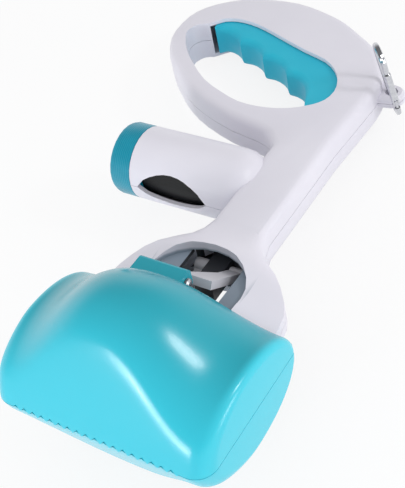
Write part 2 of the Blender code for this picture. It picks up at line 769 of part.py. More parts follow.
def jaw_ring(x, inset):
    """One section of the jaw's surface, lip to back, at x from the middle."""
    half = JAW_WIDTH / 2 - inset
    crown = crown_height(x)
    crease = crease_turn(crown)
    start = -SEAM_OVERLAP_TURN
    end = math.pi + SEAM_OVERLAP_TURN
    turns = [start + (crease - start) * share for share in FRONT_ROW_SHARES]
    turns += [crease + (end - crease) * share for share in ROOF_ROW_SHARES]
    ring = []
    for turn in turns:
        panel, roof = panel_and_roof(turn, crown)
        reach = (panel ** -CREASE_POWER + roof ** -CREASE_POWER) ** (-1 / CREASE_POWER) - inset
        corner = ROOF_END_ROUND + (LIP_END_ROUND - ROOF_END_ROUND) * max(math.cos(turn), 0.0) ** 2
        corner = max(corner - inset, ROOF_END_ROUND / 4)
        left = half - abs(x)
        if left < corner:
            reach -= corner - math.sqrt(max(corner ** 2 - (corner - left) ** 2, 0.0))
        ring.append((JAW_AXIS_Y - reach * math.cos(turn), reach * math.sin(turn)))
    return ring


def jaw_solid(inset, drop=0.0):
    half = JAW_WIDTH / 2 - inset
    shares = [-share for share in reversed(JAW_STATION_SHARES[1:])] + list(JAW_STATION_SHARES)
    mesh = bmesh.new()
    rings = []
    for share in shares:
        x = half * share
        ring = jaw_ring(x, inset)
        if drop:
            ring = [(ring[0][0], ring[0][1] - drop)] + ring + [(ring[-1][0], ring[-1][1] - drop)]
        rings.append([mesh.verts.new((x, y, z)) for y, z in ring])
    for low, high in zip(rings, rings[1:]):
        for index in range(len(low)):
            after = (index + 1) % len(low)
            mesh.faces.new((low[index], low[after], high[after], high[index]))
    mesh.faces.new(list(reversed(rings[0])))
    mesh.faces.new(rings[-1])
    return body(mesh)


def seam_comb():
    """What the front jaw loses below its toothed lip."""
    far = JAW_WIDTH
    floor = -JAW_END_CROWN
    rest = SEAM_GAP / 2
    peaks = []
    for index in reversed(range(-TOOTH_COUNT, TOOTH_COUNT)):
        x = (index + 0.5) * TOOTH_PITCH / 2
        peaks.append((x, rest + TOOTH_HEIGHT / 2 * (1 if index % 2 == 0 else -1)))
    edge = TOOTH_COUNT * TOOTH_PITCH / 2
    outline = [(-far, floor), (far, floor), (far, rest), (edge, rest)] + peaks + [(-edge, rest), (-far, rest)]
    mesh = bmesh.new()
    near = [mesh.verts.new((x, JAW_AXIS_Y - JAW_LENGTH, z)) for x, z in outline]
    deep = [mesh.verts.new((x, TOOTH_ZONE_Y + OVERRUN, z)) for x, z in outline]
    for index in range(len(outline)):
        after = (index + 1) % len(outline)
        mesh.faces.new((near[index], near[after], deep[after], deep[index]))
    mesh.faces.new(list(reversed(near)))
    mesh.faces.new(deep)
    return body(mesh)


def drum_profile():
    """(x, radius) that the jaws leave free round the skirt and round each other's ears."""
    ear_room = EAR_RADIUS + SWING_GAP
    far = EAR_START_X + 2 * EAR_STEP
    right = [(share * SKIRT_HALF_WIDTH, drum_radius(share * SKIRT_HALF_WIDTH) + 1.5 * SWING_GAP) for share, _ in TENT_SHARES]
    right = [(x, max(radius, ear_room + SWING_GAP)) for x, radius in right]
    right += [(SKIRT_HALF_WIDTH + SEAT_GAP / 2, ear_room), (far, ear_room)]
    return [(-x, radius) for x, radius in reversed(right[1:])] + right


def ear(x, radius, side=1):
    """A round ear on the hinge axis with a web up to the roof."""
    outline = disc_outline(HINGE_Y, 0.0, radius)
    disc = side_prism(outline, x, x + EAR_THICKNESS)
    web = [(HINGE_Y - 3.2 * radius, 0.6 * radius), (HINGE_Y - 0.5 * radius, 0.2 * radius),
           (HINGE_Y + 0.75 * radius, 0.35 * radius), (HINGE_Y + 0.5 * radius, 3.0 * radius),
           (HINGE_Y - 3.2 * radius, 4.0 * radius)]
    return disc, side_prism(web, x, x + EAR_THICKNESS)


def knuckle_tab():
    joint_y = HINGE_Y - 3 * SWING_GAP
    block = bar((TAB_LEFT_X, LINK_PIN_Y - 4 * LINK_PIN_RADIUS - SHELL_WALL, TAB_FOOT_Z),
                (TAB_RIGHT_X, joint_y, JAW_CROWN))
    block = keep(block, jaw_solid(SHELL_WALL / 4))
    bevel = (TAB_TOP_Z - TAB_FOOT_Z) / 4
    outline = [(joint_y - OVERRUN, TAB_FOOT_Z), (TAB_BACK_Y - bevel, TAB_FOOT_Z), (TAB_BACK_Y, TAB_FOOT_Z + bevel),
               (TAB_BACK_Y, TAB_TOP_Z - bevel), (TAB_BACK_Y - bevel, TAB_TOP_Z), (joint_y - OVERRUN, TAB_TOP_Z)]
    return block, side_prism(outline, TAB_LEFT_X, TAB_RIGHT_X)


def jaw():
    """The front jaw; the rear one is the same turned half a turn about Y."""
    plain = bar((-JAW_WIDTH, TOOTH_ZONE_Y, -JAW_END_CROWN), (JAW_WIDTH, 0.0, SEAM_GAP / 2))
    drum = lathe(drum_profile(), (0.0, HINGE_Y, 0.0), 48)
    rise = math.tan(JAW_OPENING * 1.25)
    run = JAW_BACK_Y - HINGE_Y + 2 * OVERRUN
    relief = side_prism([(HINGE_Y, -OVERRUN), (HINGE_Y + run, -OVERRUN), (HINGE_Y + run, run * rise), (HINGE_Y, 0.0)],
                        -JAW_WIDTH, JAW_WIDTH)
    # The drum comes out of the full body first, because the boolean can lose the thin shell to it.
    shell = cut(jaw_solid(0.0), drum, relief)
    shell = cut(shell, jaw_solid(JAW_WALL, JAW_END_CROWN), seam_comb(), plain)
    extras = []
    for x in (EAR_START_X, -EAR_START_X - EAR_STEP - EAR_THICKNESS):
        disc, web = ear(x, EAR_RADIUS)
        extras += [disc, keep(web, jaw_solid(JAW_WALL / 3))]
    shell = join(shell, *extras, *knuckle_tab())
    bore = HINGE_PIN_RADIUS + SEAT_GAP
    for x in (EAR_START_X, -EAR_START_X - EAR_STEP - EAR_THICKNESS):
        ends = (x - EAR_THICKNESS / 8, x + EAR_THICKNESS * 9 / 8)
        shell = cut(shell, lathe([(end, bore) for end in ends], (0.0, HINGE_Y, 0.0), 24))
    slot = bar((SLOT_LEFT_X, LINK_PIN_Y - 2 * LINK_PIN_RADIUS, TAB_FOOT_Z - OVERRUN),
               (SLOT_RIGHT_X, TAB_BACK_Y + OVERRUN, TAB_TOP_Z - TAB_ROOF))
    pin_way = lathe([(SLOT_LEFT_X - 2.5 * LINK_PIN_RADIUS, LINK_PIN_RADIUS + SEAT_GAP),
                     (TAB_RIGHT_X + OVERRUN, LINK_PIN_RADIUS + SEAT_GAP)], (0.0, LINK_PIN_Y, LINK_PIN_Z), 24)
    dome_room = lathe([(TAB_RIGHT_X, PIN_DOME_RADIUS + RUNNING_GAP),
                       (TAB_RIGHT_X + 2 * PIN_DOME_RADIUS, PIN_DOME_RADIUS + RUNNING_GAP)],
                      (0.0, LINK_PIN_Y, LINK_PIN_Z), 24)
    return cut(shell, slot, pin_way, dome_room)


def half_turn(shape):
    """Turn a shape half a turn about the handle's axis."""
    shape.data.transform(Matrix.Rotation(math.pi, 4, "Y"))
    return shape


def jaws():
    front = jaw()
    rear = half_turn(copy_of(front))
    place(front, "front_jaw", "cyan", (0.0, HINGE_Y, 0.0))
    place(rear, "rear_jaw", "cyan", (0.0, HINGE_Y, 0.0))


# Hinge pins

def hinge_pins():
    inner = HINGE_BOSS_INNER_X + SHELL_WALL + SEAT_GAP
    outer = EAR_START_X + EAR_STEP + EAR_THICKNESS + SEAT_GAP
    for name, side in (("right_hinge_pin", 1), ("left_hinge_pin", -1)):
        ends = sorted((side * inner, side * outer))
        pin = lathe([(x, HINGE_PIN_RADIUS) for x in ends], (0.0, HINGE_Y, 0.0), 20)
        place(pin, name, "steel", (0.0, HINGE_Y, 0.0))


# Links between the yoke and the jaws' tabs

LINK_THICKNESS = 4.0 * MM
LINK_NECK_LEFT_X = -2.7 * MM
LINK_NECK_RIGHT_X = 1.3 * MM
LINK_OUTER_X = 12.2 * MM
LINK_INNER_X = 5.6 * MM
LINK_NECK_SHARE = 0.22
LINK_TAPER_SHARE = 0.66
OPEN_PIVOT_GAP = 0.7 * MM
YOKE_PIN_RADIUS = 1.5 * MM
PIN_DOME_RADIUS = 2.7 * MM


def link_length():
    return math.hypot(YOKE_PIN_Y - LINK_PIN_Y, LINK_PIN_Z)


def link():
    """The front link, drawn flat along Y from the tab's pin, then turned down to the yoke's pin."""
    length = link_length()
    half = LINK_THICKNESS / 2
    eye = LINK_PIN_RADIUS + SEAT_GAP + half / 2
    neck = LINK_NECK_SHARE * length
    taper = LINK_TAPER_SHARE * length
    outline = [(LINK_NECK_LEFT_X, 0.0), (LINK_NECK_RIGHT_X, 0.0), (LINK_NECK_RIGHT_X, neck), (LINK_OUTER_X, neck),
               (LINK_OUTER_X, length), (LINK_INNER_X, length), (LINK_INNER_X, taper), (LINK_NECK_LEFT_X, neck * 1.4)]
    plate = prism(outline, [(-half, 0.0), (half, 0.0)])
    low_eye = lathe([(LINK_NECK_LEFT_X, eye), (LINK_NECK_RIGHT_X, eye)], (0.0, 0.0, 0.0), 20)
    high_eye = lathe([(LINK_INNER_X, eye), (LINK_OUTER_X, eye)], (0.0, length, 0.0), 20)
    shape = join(plate, low_eye, high_eye)
    bore = LINK_PIN_RADIUS + SEAT_GAP
    wide_bore = YOKE_PIN_RADIUS + OPEN_PIVOT_GAP
    shape = cut(shape, lathe([(LINK_NECK_LEFT_X - OVERRUN, bore), (LINK_NECK_RIGHT_X + OVERRUN, bore)],
                             (0.0, 0.0, 0.0), 20))
    shape = cut(shape, lathe([(LINK_INNER_X - OVERRUN, wide_bore), (LINK_OUTER_X + OVERRUN, wide_bore)],
                             (0.0, length, 0.0), 20))
    fall = math.atan2(-LINK_PIN_Z, YOKE_PIN_Y - LINK_PIN_Y)
    shape.data.transform(Matrix.Translation((0.0, LINK_PIN_Y, LINK_PIN_Z)) @ Matrix.Rotation(fall, 4, "X"))
    return shape


def link_pin():
    start = SLOT_LEFT_X - 2 * LINK_PIN_RADIUS
    head = TAB_RIGHT_X + SEAT_GAP
    dome = PIN_DOME_RADIUS
    profile = [(start, LINK_PIN_RADIUS), (head, LINK_PIN_RADIUS), (head, dome), (head + 0.35 * dome, dome * 0.92),
               (head + 0.62 * dome, dome * 0.5)]
    return lathe(profile, (0.0, LINK_PIN_Y, LINK_PIN_Z), 20)


def links():
    front_pivot = (0.0, LINK_PIN_Y, LINK_PIN_Z)
    rear_pivot = (0.0, LINK_PIN_Y, -LINK_PIN_Z)
    front = link()
    rear = half_turn(copy_of(front))
    place(front, "front_link", "grey", front_pivot)
    place(rear, "rear_link", "grey", rear_pivot)
    pin = link_pin()
    rear_pin = half_turn(copy_of(pin))
    place(pin, "front_link_pin", "steel", front_pivot)
    place(rear_pin, "rear_link_pin", "steel", rear_pivot)


# Yoke, pull rod and return spring

YOKE_HALF_WIDTH = 4.8 * MM
YOKE_HALF_THICKNESS = 4.8 * MM
YOKE_FOOT_Y = -0.5 * MM
YOKE_SHOULDER_Y = 18.4 * MM
YOKE_TOP_Y = 26.5 * MM
ROD_LEAD = 1.6 * MM
COLLAR_HEIGHT = 2.6 * MM
CARRIER_TOP_SHARE = 0.5554
CARRIER_BLOCK_HEIGHT = 10.2 * MM
ROD_INSET = 2.2 * MM
CARRIER_BLOCK_TOP_Y = LOOP_BASE_Y + CARRIER_TOP_SHARE * LOOP_HEIGHT
CARRIER_BLOCK_Y = CARRIER_BLOCK_TOP_Y - CARRIER_BLOCK_HEIGHT
ROD_TOP_Y = CARRIER_BLOCK_TOP_Y - ROD_INSET
ROD_PIN_RADIUS = 0.9 * MM


def yoke():
    lower = bar((-YOKE_HALF_WIDTH, YOKE_FOOT_Y, -YOKE_HALF_THICKNESS),
                (YOKE_HALF_WIDTH, YOKE_SHOULDER_Y + OVERRUN, YOKE_HALF_THICKNESS))
    reach = ROD_RADIUS + SEAT_GAP + SHELL_WALL
    upper = bar((-YOKE_HALF_WIDTH - OVERRUN / 2, YOKE_SHOULDER_Y, -YOKE_HALF_THICKNESS - OVERRUN / 2),
                (ROD_X + reach + OVERRUN, YOKE_TOP_Y, YOKE_HALF_THICKNESS + OVERRUN / 2))
    shape = join(lower, upper)
    bore = YOKE_PIN_RADIUS + SEAT_GAP
    rod_bore = ROD_RADIUS + SEAT_GAP
    pin_way = lathe([(-YOKE_HALF_WIDTH - OVERRUN, bore), (YOKE_HALF_WIDTH + OVERRUN, bore)],
                    (0.0, YOKE_PIN_Y, 0.0), 20)
    rod_way = lathe([(YOKE_SHOULDER_Y + ROD_LEAD, rod_bore), (YOKE_TOP_Y + OVERRUN, rod_bore)], (ROD_X, 0.0, 0.0), 24, "Y")
    return cut(shape, pin_way, rod_way)


def pull_rod():
    foot = YOKE_SHOULDER_Y + ROD_LEAD + SEAT_GAP
    collar = SPRING_RADIUS + SPRING_WIRE / 2
    profile = [(foot, ROD_RADIUS), (SPRING_LOW_Y - COLLAR_HEIGHT, ROD_RADIUS), (SPRING_LOW_Y - COLLAR_HEIGHT, collar),
               (SPRING_LOW_Y, collar), (SPRING_LOW_Y, ROD_RADIUS), (ROD_TOP_Y, ROD_RADIUS)]
    rod = lathe(profile, (ROD_X, 0.0, 0.0), 20, "Y")
    return cut(rod, upright_cylinder(ROD_X, carrier_pin_y(), ROD_PIN_RADIUS + SEAT_GAP, -LINK_OUTER_X, LINK_OUTER_X, 12))


def carrier_pin_y():
    return CARRIER_BLOCK_Y + (ROD_TOP_Y - CARRIER_BLOCK_Y) / 2


def drive_train():
    place(yoke(), "yoke", "grey", (0.0, YOKE_PIN_Y, 0.0))
    ends = (-LINK_OUTER_X - SWING_GAP, LINK_OUTER_X + SWING_GAP)
    pin = lathe([(x, YOKE_PIN_RADIUS) for x in ends], (0.0, YOKE_PIN_Y, 0.0), 16)
    place(pin, "yoke_pin", "steel", (0.0, YOKE_PIN_Y, 0.0))
    place(pull_rod(), "pull_rod", "steel", (ROD_X, SPRING_LOW_Y, 0.0))
    points = spring_points()
    print("return spring, least gap of the wire to itself in mm:", round(curl_gap(points) / MM, 2))
    place(wire(points, SPRING_WIRE), "return_spring", "steel", (ROD_X, SPRING_RIB_Y, 0.0))
    pin_half = CARRIER_BLOCK_HALF - SEAT_GAP
    rod_pin = upright_cylinder(ROD_X, carrier_pin_y(), ROD_PIN_RADIUS, -pin_half, pin_half, 12)
    place(rod_pin, "rod_pin", "steel", (ROD_X, carrier_pin_y(), 0.0))


# Trigger: the grip under the fingers and the carrier that joins it to the rod

GRIP_HALF = 8.9 * MM
GRIP_EDGE_ROUND = 3.6 * MM
GRIP_UNDER_SHELL = 3.2 * MM
GROOVE_DEPTH = 4.0 * MM
CARRIER_HALF = 2.8 * MM
CARRIER_RISE = 4.2 * MM
CARRIER_BLOCK_HALF = 5.0 * MM
CARRIER_SKIPPED_STEPS = 4
CARRIER_REACH_STEPS = 18
CARRIER_BLOCK_LEFT_X = -2.4 * MM
CARRIER_BLOCK_RIGHT_X = 6.8 * MM
FINGER_STEPS = 5


def finger_edge():
    """Scalloped edge from the left end to the right, a hollow between each two crests."""
    crests = on_loop(FINGER_CREST_SHARES)
    edge = []
    for first, second in zip(crests, crests[1:]):
        a, b = Vector(first), Vector(second)
        normal = Vector((a.y - b.y, b.x - a.x)).normalized()
        for step in range(FINGER_STEPS):
            t = step / FINGER_STEPS
            edge.append(tuple(a.lerp(b, t) + normal * FINGER_HOLLOW * math.sin(math.pi * t) ** 0.8))
    tail = opening_outline(-RUNNING_GAP)
    return edge + [crests[-1], tail[0]]


def grip_top_edge(grown):
    limit = ROD_X - ROD_RADIUS - RUNNING_GAP
    edge = grown_pocket_edge(grown)
    return [(min(x, limit), y) for x, y in edge]


def trigger_grip():
    """Each level is (height, how far the finger side draws back)."""
    fingers = finger_edge()
    top = grip_top_edge(GRIP_UNDER_SHELL)[1:-1]
    outline = fingers + list(reversed(top))
    count = len(fingers)
    mesh = bmesh.new()
    rings = []
    for height, draw in rim_levels(GRIP_HALF, GRIP_EDGE_ROUND, 3):
        drawn = offset_outline(outline, draw)
        ring = drawn[1:count - 1]
        ring = [outline[0]] + ring + outline[count - 1:]
        rings.append([mesh.verts.new((x, y, height)) for x, y in ring])
    for low, high in zip(rings, rings[1:]):
        for index in range(len(low)):
            after = (index + 1) % len(low)
            mesh.faces.new((low[index], low[after], high[after], high[index]))
    mesh.faces.new(list(reversed(rings[0])))
    mesh.faces.new(rings[-1])
    grip = body(mesh)
    return cut(grip, carrier_band(SEAT_GAP, CARRIER_HALF + SEAT_GAP), carrier_arm(SEAT_GAP), carrier_block(SEAT_GAP))


def carrier_band(grown, half):
    """The strip that sits in the grip's groove and stands out of its top."""
    inner = grown_pocket_edge(GRIP_UNDER_SHELL - GROOVE_DEPTH - grown)
    outer = grown_pocket_edge(GRIP_UNDER_SHELL + CARRIER_RISE + grown)
    spare = 1 if grown else 0
    first, last = CARRIER_SKIPPED_STEPS - spare, CARRIER_REACH_STEPS + spare
    outline = inner[first:last] + list(reversed(outer[first:last]))
    return prism(outline, [(-half, 0.0), (half, 0.0)])


def carrier_block(grown):
    """The block that is pinned to the rod."""
    return bar((CARRIER_BLOCK_LEFT_X - grown, CARRIER_BLOCK_Y - grown, -CARRIER_BLOCK_HALF - grown),
               (CARRIER_BLOCK_RIGHT_X + grown, CARRIER_BLOCK_TOP_Y + grown, CARRIER_BLOCK_HALF + grown))


def carrier_arm(grown):
    """From the band's right end to the block on the rod."""
    edge_x = grown_pocket_edge(GRIP_UNDER_SHELL + CARRIER_RISE)[CARRIER_REACH_STEPS - 1][0]
    half = CARRIER_HALF - OVERRUN / 8 + grown
    return bar((edge_x - CARRIER_RISE - grown, CARRIER_BLOCK_TOP_Y - 2 * CARRIER_HALF - grown, -half),
               (CARRIER_BLOCK_RIGHT_X - OVERRUN, CARRIER_BLOCK_TOP_Y - OVERRUN / 8 + grown, half))


def trigger_carrier():
    band = carrier_band(0.0, CARRIER_HALF)
    shape = join(carrier_block(0.0), band, carrier_arm(0.0))
    rod_way = lathe([(CARRIER_BLOCK_Y - OVERRUN, ROD_RADIUS + SEAT_GAP), (ROD_TOP_Y + SEAT_GAP, ROD_RADIUS + SEAT_GAP)],
                    (ROD_X, 0.0, 0.0), 24, "Y")
    pin_way = upright_cylinder(ROD_X, carrier_pin_y(), ROD_PIN_RADIUS + SEAT_GAP / 3, -LINK_OUTER_X, LINK_OUTER_X, 12)
    return cut(shape, rod_way, pin_way)


def trigger():
    place(trigger_grip(), "trigger_grip", "cyan")
    place(trigger_carrier(), "trigger_carrier", "grey")


# Dispenser: cap, bag roll and its core

CAP_ROUND = 2.6 * MM
PLUG_LENGTH = 5.0 * MM
PLUG_WALL = 1.2 * MM
CORE_RADIUS = 7.5 * MM
CORE_WALL = 1.4 * MM
ROLL_LENGTH = 55.0 * MM


def dispenser_cap():
    rim = TUBE_MOUTH_X - SEAM_GAP
    end = rim - CAP_LENGTH
    outer = [(rim, TUBE_RADIUS), (end + CAP_ROUND, TUBE_RADIUS), (end + 0.35 * CAP_ROUND, TUBE_RADIUS - 0.25 * CAP_ROUND),
             (end, TUBE_RADIUS - CAP_ROUND)]
    shape = lathe(outer, (0.0, TUBE_AXIS_Y, 0.0), 28)
    plug_radius = TUBE_RADIUS - TUBE_WALL - SEAT_GAP
    plug = lathe([(rim - TUBE_WALL, plug_radius), (rim + PLUG_LENGTH, plug_radius)], (0.0, TUBE_AXIS_Y, 0.0), 28)
    hollow_radius = plug_radius - PLUG_WALL
    hollow = lathe([(end + TUBE_WALL, hollow_radius), (rim + PLUG_LENGTH + OVERRUN, hollow_radius)],
                   (0.0, TUBE_AXIS_Y, 0.0), 28)
    return cut(join(shape, plug), hollow)


def roll_axis():
    """The roll rests on the cap's plug."""
    hollow_radius = TUBE_RADIUS - TUBE_WALL - SEAT_GAP - PLUG_WALL
    return (0.0, TUBE_AXIS_Y, -(hollow_radius - SEAT_GAP - BAG_ROLL_RADIUS))


def dispenser():
    start = TUBE_MOUTH_X - SEAM_GAP - CAP_LENGTH + TUBE_WALL + SWING_GAP
    end = start + ROLL_LENGTH
    axis = roll_axis()
    bore = CORE_RADIUS + SEAT_GAP
    roll = lathe([(start, BAG_ROLL_RADIUS), (end, BAG_ROLL_RADIUS)], axis, 32)
    roll = cut(roll, lathe([(start - OVERRUN, bore), (end + OVERRUN, bore)], axis, 24))
    core = lathe([(start, CORE_RADIUS), (end, CORE_RADIUS)], axis, 24)
    hole = CORE_RADIUS - CORE_WALL
    core = cut(core, lathe([(start - OVERRUN, hole), (end + OVERRUN, hole)], axis, 24))
    middle = ((start + end) / 2, axis[1], axis[2])
    place(roll, "bag_roll", "black", middle)
    place(core, "bag_roll_core", "card", middle)
    place(dispenser_cap(), "dispenser_cap", "cyan", (TUBE_MOUTH_X, TUBE_AXIS_Y, 0.0))


# Snap hook: drawn upright in its own plane, (across, along), from the middle of the eyelet's rim

HOOK_WIRE = 3.0 * MM
HOOK_FOOT_RADIUS = 5.5 * MM
HOOK_HEAD_RADIUS = 7.0 * MM
HOOK_LENGTH = 29.5 * MM
HOOK_TURN = math.radians(-49.5)
HOOK_LEAN = math.radians(11.0)
GATE_RADIUS = 1.9 * MM
GATE_FOOT = 4.6 * MM
GATE_TOP = 23.6 * MM
GATE_SLOT = 1.8 * MM
GATE_PIN_RADIUS = 0.6 * MM


def hook_centre():
    lever = (EYELET_RADIUS + EYELET_HOLE_RADIUS) / 2
    return (EYELET_X + lever * math.cos(HOOK_TURN), EYELET_Y + lever * math.sin(HOOK_TURN), 0.0)


def hook_frame():
    """The hook's own frame: X across, Z along; it leans out of its plane."""
    turned = Matrix.Rotation(HOOK_TURN, 4, "Z") @ Matrix.Rotation(HOOK_LEAN, 4, "X")
    return Matrix.Translation(hook_centre()) @ turned


def into_hook_frame(shape):
    shape.data.transform(hook_frame())
    return shape


def hook_path():
    steps = 9
    path = [(HOOK_FOOT_RADIUS, GATE_FOOT - 2 * GATE_RADIUS)]
    for step in range(steps + 1):
        turn = -math.pi * step / steps
        path.append((HOOK_FOOT_RADIUS * math.cos(turn), HOOK_FOOT_RADIUS * math.sin(turn)))
    for step in range(steps + 1):
        turn = math.pi - math.pi * step / steps
        path.append((HOOK_HEAD_RADIUS * math.cos(turn), HOOK_LENGTH + HOOK_HEAD_RADIUS * math.sin(turn)))
    path.append((HOOK_FOOT_RADIUS, GATE_TOP + 2 * SEAT_GAP))
    return [(x, 0.0, z) for x, z in path]


def snap_hook():
    hook = wire(hook_path(), HOOK_WIRE, 2)
    gate_x = HOOK_FOOT_RADIUS
    tongue = bar((gate_x - GATE_RADIUS / 2, -GATE_SLOT / 3, GATE_FOOT - 2.5 * GATE_RADIUS),
                 (gate_x + GATE_RADIUS / 2, GATE_SLOT / 3, GATE_FOOT + GATE_RADIUS / 2))
    pin_hole = GATE_PIN_RADIUS + SEAT_GAP / 3
    hole = lathe([(-GATE_RADIUS, pin_hole), (GATE_RADIUS, pin_hole)], (gate_x, 0.0, GATE_FOOT), 12, "Y")
    hook = cut(join(hook, tongue), hole)
    start = GATE_FOOT - GATE_RADIUS / 1.5
    gate = lathe([(start, GATE_RADIUS), (GATE_TOP - GATE_RADIUS / 3, GATE_RADIUS), (GATE_TOP, GATE_RADIUS * 0.7)],
                 (gate_x, 0.0, 0.0), 16, "Z")
    slot = bar((gate_x - 2 * GATE_RADIUS, -GATE_SLOT / 2, start - OVERRUN),
               (gate_x + 2 * GATE_RADIUS, GATE_SLOT / 2, GATE_FOOT + 1.2 * GATE_RADIUS))
    gate_hole = lathe([(-2 * GATE_RADIUS, pin_hole), (2 * GATE_RADIUS, pin_hole)], (gate_x, 0.0, GATE_FOOT), 12, "Y")
    gate = cut(gate, slot, gate_hole)
    pin_half = GATE_RADIUS * 0.75
    pin = lathe([(-pin_half, GATE_PIN_RADIUS), (pin_half, GATE_PIN_RADIUS)], (gate_x, 0.0, GATE_FOOT), 12, "Y")
    pivot = hook_frame() @ Vector((gate_x, 0.0, GATE_FOOT))
    place(into_hook_frame(hook), "carabiner_body", "steel", hook_centre())
    place(into_hook_frame(gate), "carabiner_gate", "steel", pivot)
    place(into_hook_frame(pin), "carabiner_gate_pin", "steel", pivot)


# The part lies on its back

def settle():
    """Tip the level frame until the rear jaw's crown and the loop's rear rim lie on the floor, then centre it."""
    rim_y = LOOP_BASE_Y + LOOP_HEIGHT - RIM_RADIUS
    tip = math.atan((JAW_CROWN - HALF_THICKNESS) / (rim_y - JAW_AXIS_Y))
    level_frame.rotation_euler = (-tip, 0.0, 0.0)
    bpy.context.view_layer.update()
    spots = [piece.matrix_world @ vert.co for piece in level_frame.children for vert in piece.data.vertices]
    lows = [min(spot[axis] for spot in spots) for axis in range(3)]
    highs = [max(spot[axis] for spot in spots) for axis in range(3)]
    level_frame.location = (-(lows[0] + highs[0]) / 2, -(lows[1] + highs[1]) / 2, -lows[2])
    bpy.context.view_layer.update()


handle_shells()
jaws()
hinge_pins()
links()
drive_train()
trigger()
dispenser()
snap_hook()
for index in range(len(SCREW_PLACES)):
    place(housing_screw(index), "housing_screw_" + str(index + 1), "steel", (*SCREW_PLACES[index], 0.0))
settle()
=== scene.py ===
import json
import math

import bmesh
import bpy
from mathutils import Matrix, Vector

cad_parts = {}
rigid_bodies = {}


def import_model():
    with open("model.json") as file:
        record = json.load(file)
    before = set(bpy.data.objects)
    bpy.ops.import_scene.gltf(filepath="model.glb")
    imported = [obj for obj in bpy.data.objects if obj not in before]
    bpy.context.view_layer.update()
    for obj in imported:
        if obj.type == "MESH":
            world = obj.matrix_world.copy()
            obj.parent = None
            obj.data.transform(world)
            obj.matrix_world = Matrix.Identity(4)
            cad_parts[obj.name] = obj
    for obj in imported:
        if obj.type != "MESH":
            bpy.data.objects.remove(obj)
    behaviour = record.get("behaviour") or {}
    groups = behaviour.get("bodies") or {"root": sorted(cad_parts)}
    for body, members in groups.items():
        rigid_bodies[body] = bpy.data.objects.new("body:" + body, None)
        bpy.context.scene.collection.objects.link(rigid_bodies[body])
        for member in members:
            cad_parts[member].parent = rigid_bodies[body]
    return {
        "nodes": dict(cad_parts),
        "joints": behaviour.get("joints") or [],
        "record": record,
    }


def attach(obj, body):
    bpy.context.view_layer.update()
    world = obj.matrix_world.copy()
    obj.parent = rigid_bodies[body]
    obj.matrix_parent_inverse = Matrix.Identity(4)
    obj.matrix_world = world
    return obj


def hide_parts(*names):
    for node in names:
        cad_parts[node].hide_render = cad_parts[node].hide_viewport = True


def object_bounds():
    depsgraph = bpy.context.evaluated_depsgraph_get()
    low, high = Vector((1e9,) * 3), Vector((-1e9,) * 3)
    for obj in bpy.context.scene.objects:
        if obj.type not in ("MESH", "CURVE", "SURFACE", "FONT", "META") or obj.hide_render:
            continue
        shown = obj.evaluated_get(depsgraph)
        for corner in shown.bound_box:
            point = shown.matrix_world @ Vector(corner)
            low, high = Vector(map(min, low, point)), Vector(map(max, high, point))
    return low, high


for leftover in list(bpy.data.objects):
    bpy.data.objects.remove(leftover, do_unlink=True)

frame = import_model()
cadBox = [list(corner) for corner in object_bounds()]
nodes = frame["nodes"]
joints = {joint["name"]: joint for joint in frame["joints"]}
print("frame loaded:", len(nodes), "nodes")

mm = 0.001

# The handle's own frame: X across the jaws, Y from the jaws to the loop, Z out of the front face.
hingeInHandle = {"alongHandle": -18 * mm}
alongHandle = Vector(joints["trigger_squeeze"]["axis"]).normalized()
acrossHandle = Vector((1, 0, 0))
outOfHandle = acrossHandle.cross(alongHandle)
handleFrame = Matrix((acrossHandle, alongHandle, outOfHandle)).transposed().to_4x4()
hingePlace = Vector(joints["front_jaw_hinge"]["pos_m"])
handleFrame.translation = hingePlace - alongHandle * hingeInHandle["alongHandle"]


def toLinear(hexValue):
    channels = [int(hexValue[i:i + 2], 16) / 255 for i in (1, 3, 5)]
    return tuple(c / 12.92 if c <= 0.04045 else ((c + 0.055) / 1.055) ** 2.4 for c in channels) + (1.0,)


def addNode(tree, kind, settings=None, values=None, links=None):
    node = tree.nodes.new(kind)
    for name, value in (settings or {}).items():
        setattr(node, name, value)
    for name, value in (values or {}).items():
        node.inputs[name].default_value = value
    for name, source in (links or {}).items():
        tree.links.new(source, node.inputs[name])
    return node


def newTree(name):
    material = bpy.data.materials.new(name)
    material.use_nodes = True
    material.node_tree.nodes.clear()
    return material, material.node_tree


def finishTree(tree, values, links):
    surface = addNode(tree, "ShaderNodeBsdfPrincipled", values=values, links=links)
    addNode(tree, "ShaderNodeOutputMaterial", links={"Surface": surface.outputs["BSDF"]})


# Handle: ABS, injection moulded in a spark-eroded tool, so satin with a faint grain and soft reflections.
handleShells = {
    "colour": "#E8E6EF",
    "flowColour": "#DDDBE6",
    "roughness": 0.38,
    "roughnessSpread": (0.05, 0.07),  # how much glossier and duller the grain makes it
    "ior": 1.53,
    "grainSize": 0.6 * mm,  # eroded grain is about 0.1 mm, drawn six times coarser so that it shows
    "grainDepth": 0.02 * mm,
    "bumpStrength": 0.6,
    "flowSize": 40 * mm,  # slow melt-flow variation, about a hand's width
    # Inside walls get little light through the hood's opening, so their almost black colour is painted
    # shade.
    "paintedInsideShade": "#34363C",
    "insideAlong": (-22 * mm, 100 * mm),
    "insideHalfDepth": 9.3 * mm,
    "paintedRecessShade": "#8B97A5",  # painted shade on the flanks of the hood's recess
    "recessHalfDepth": (10.4 * mm, 12.3 * mm),
    "recessAlong": (15 * mm, 18 * mm),
    "insideHalfWidth": (26 * mm, 12 * mm),  # at the skirt, in the neck
    "insideNarrows": (10 * mm, 30 * mm),
}
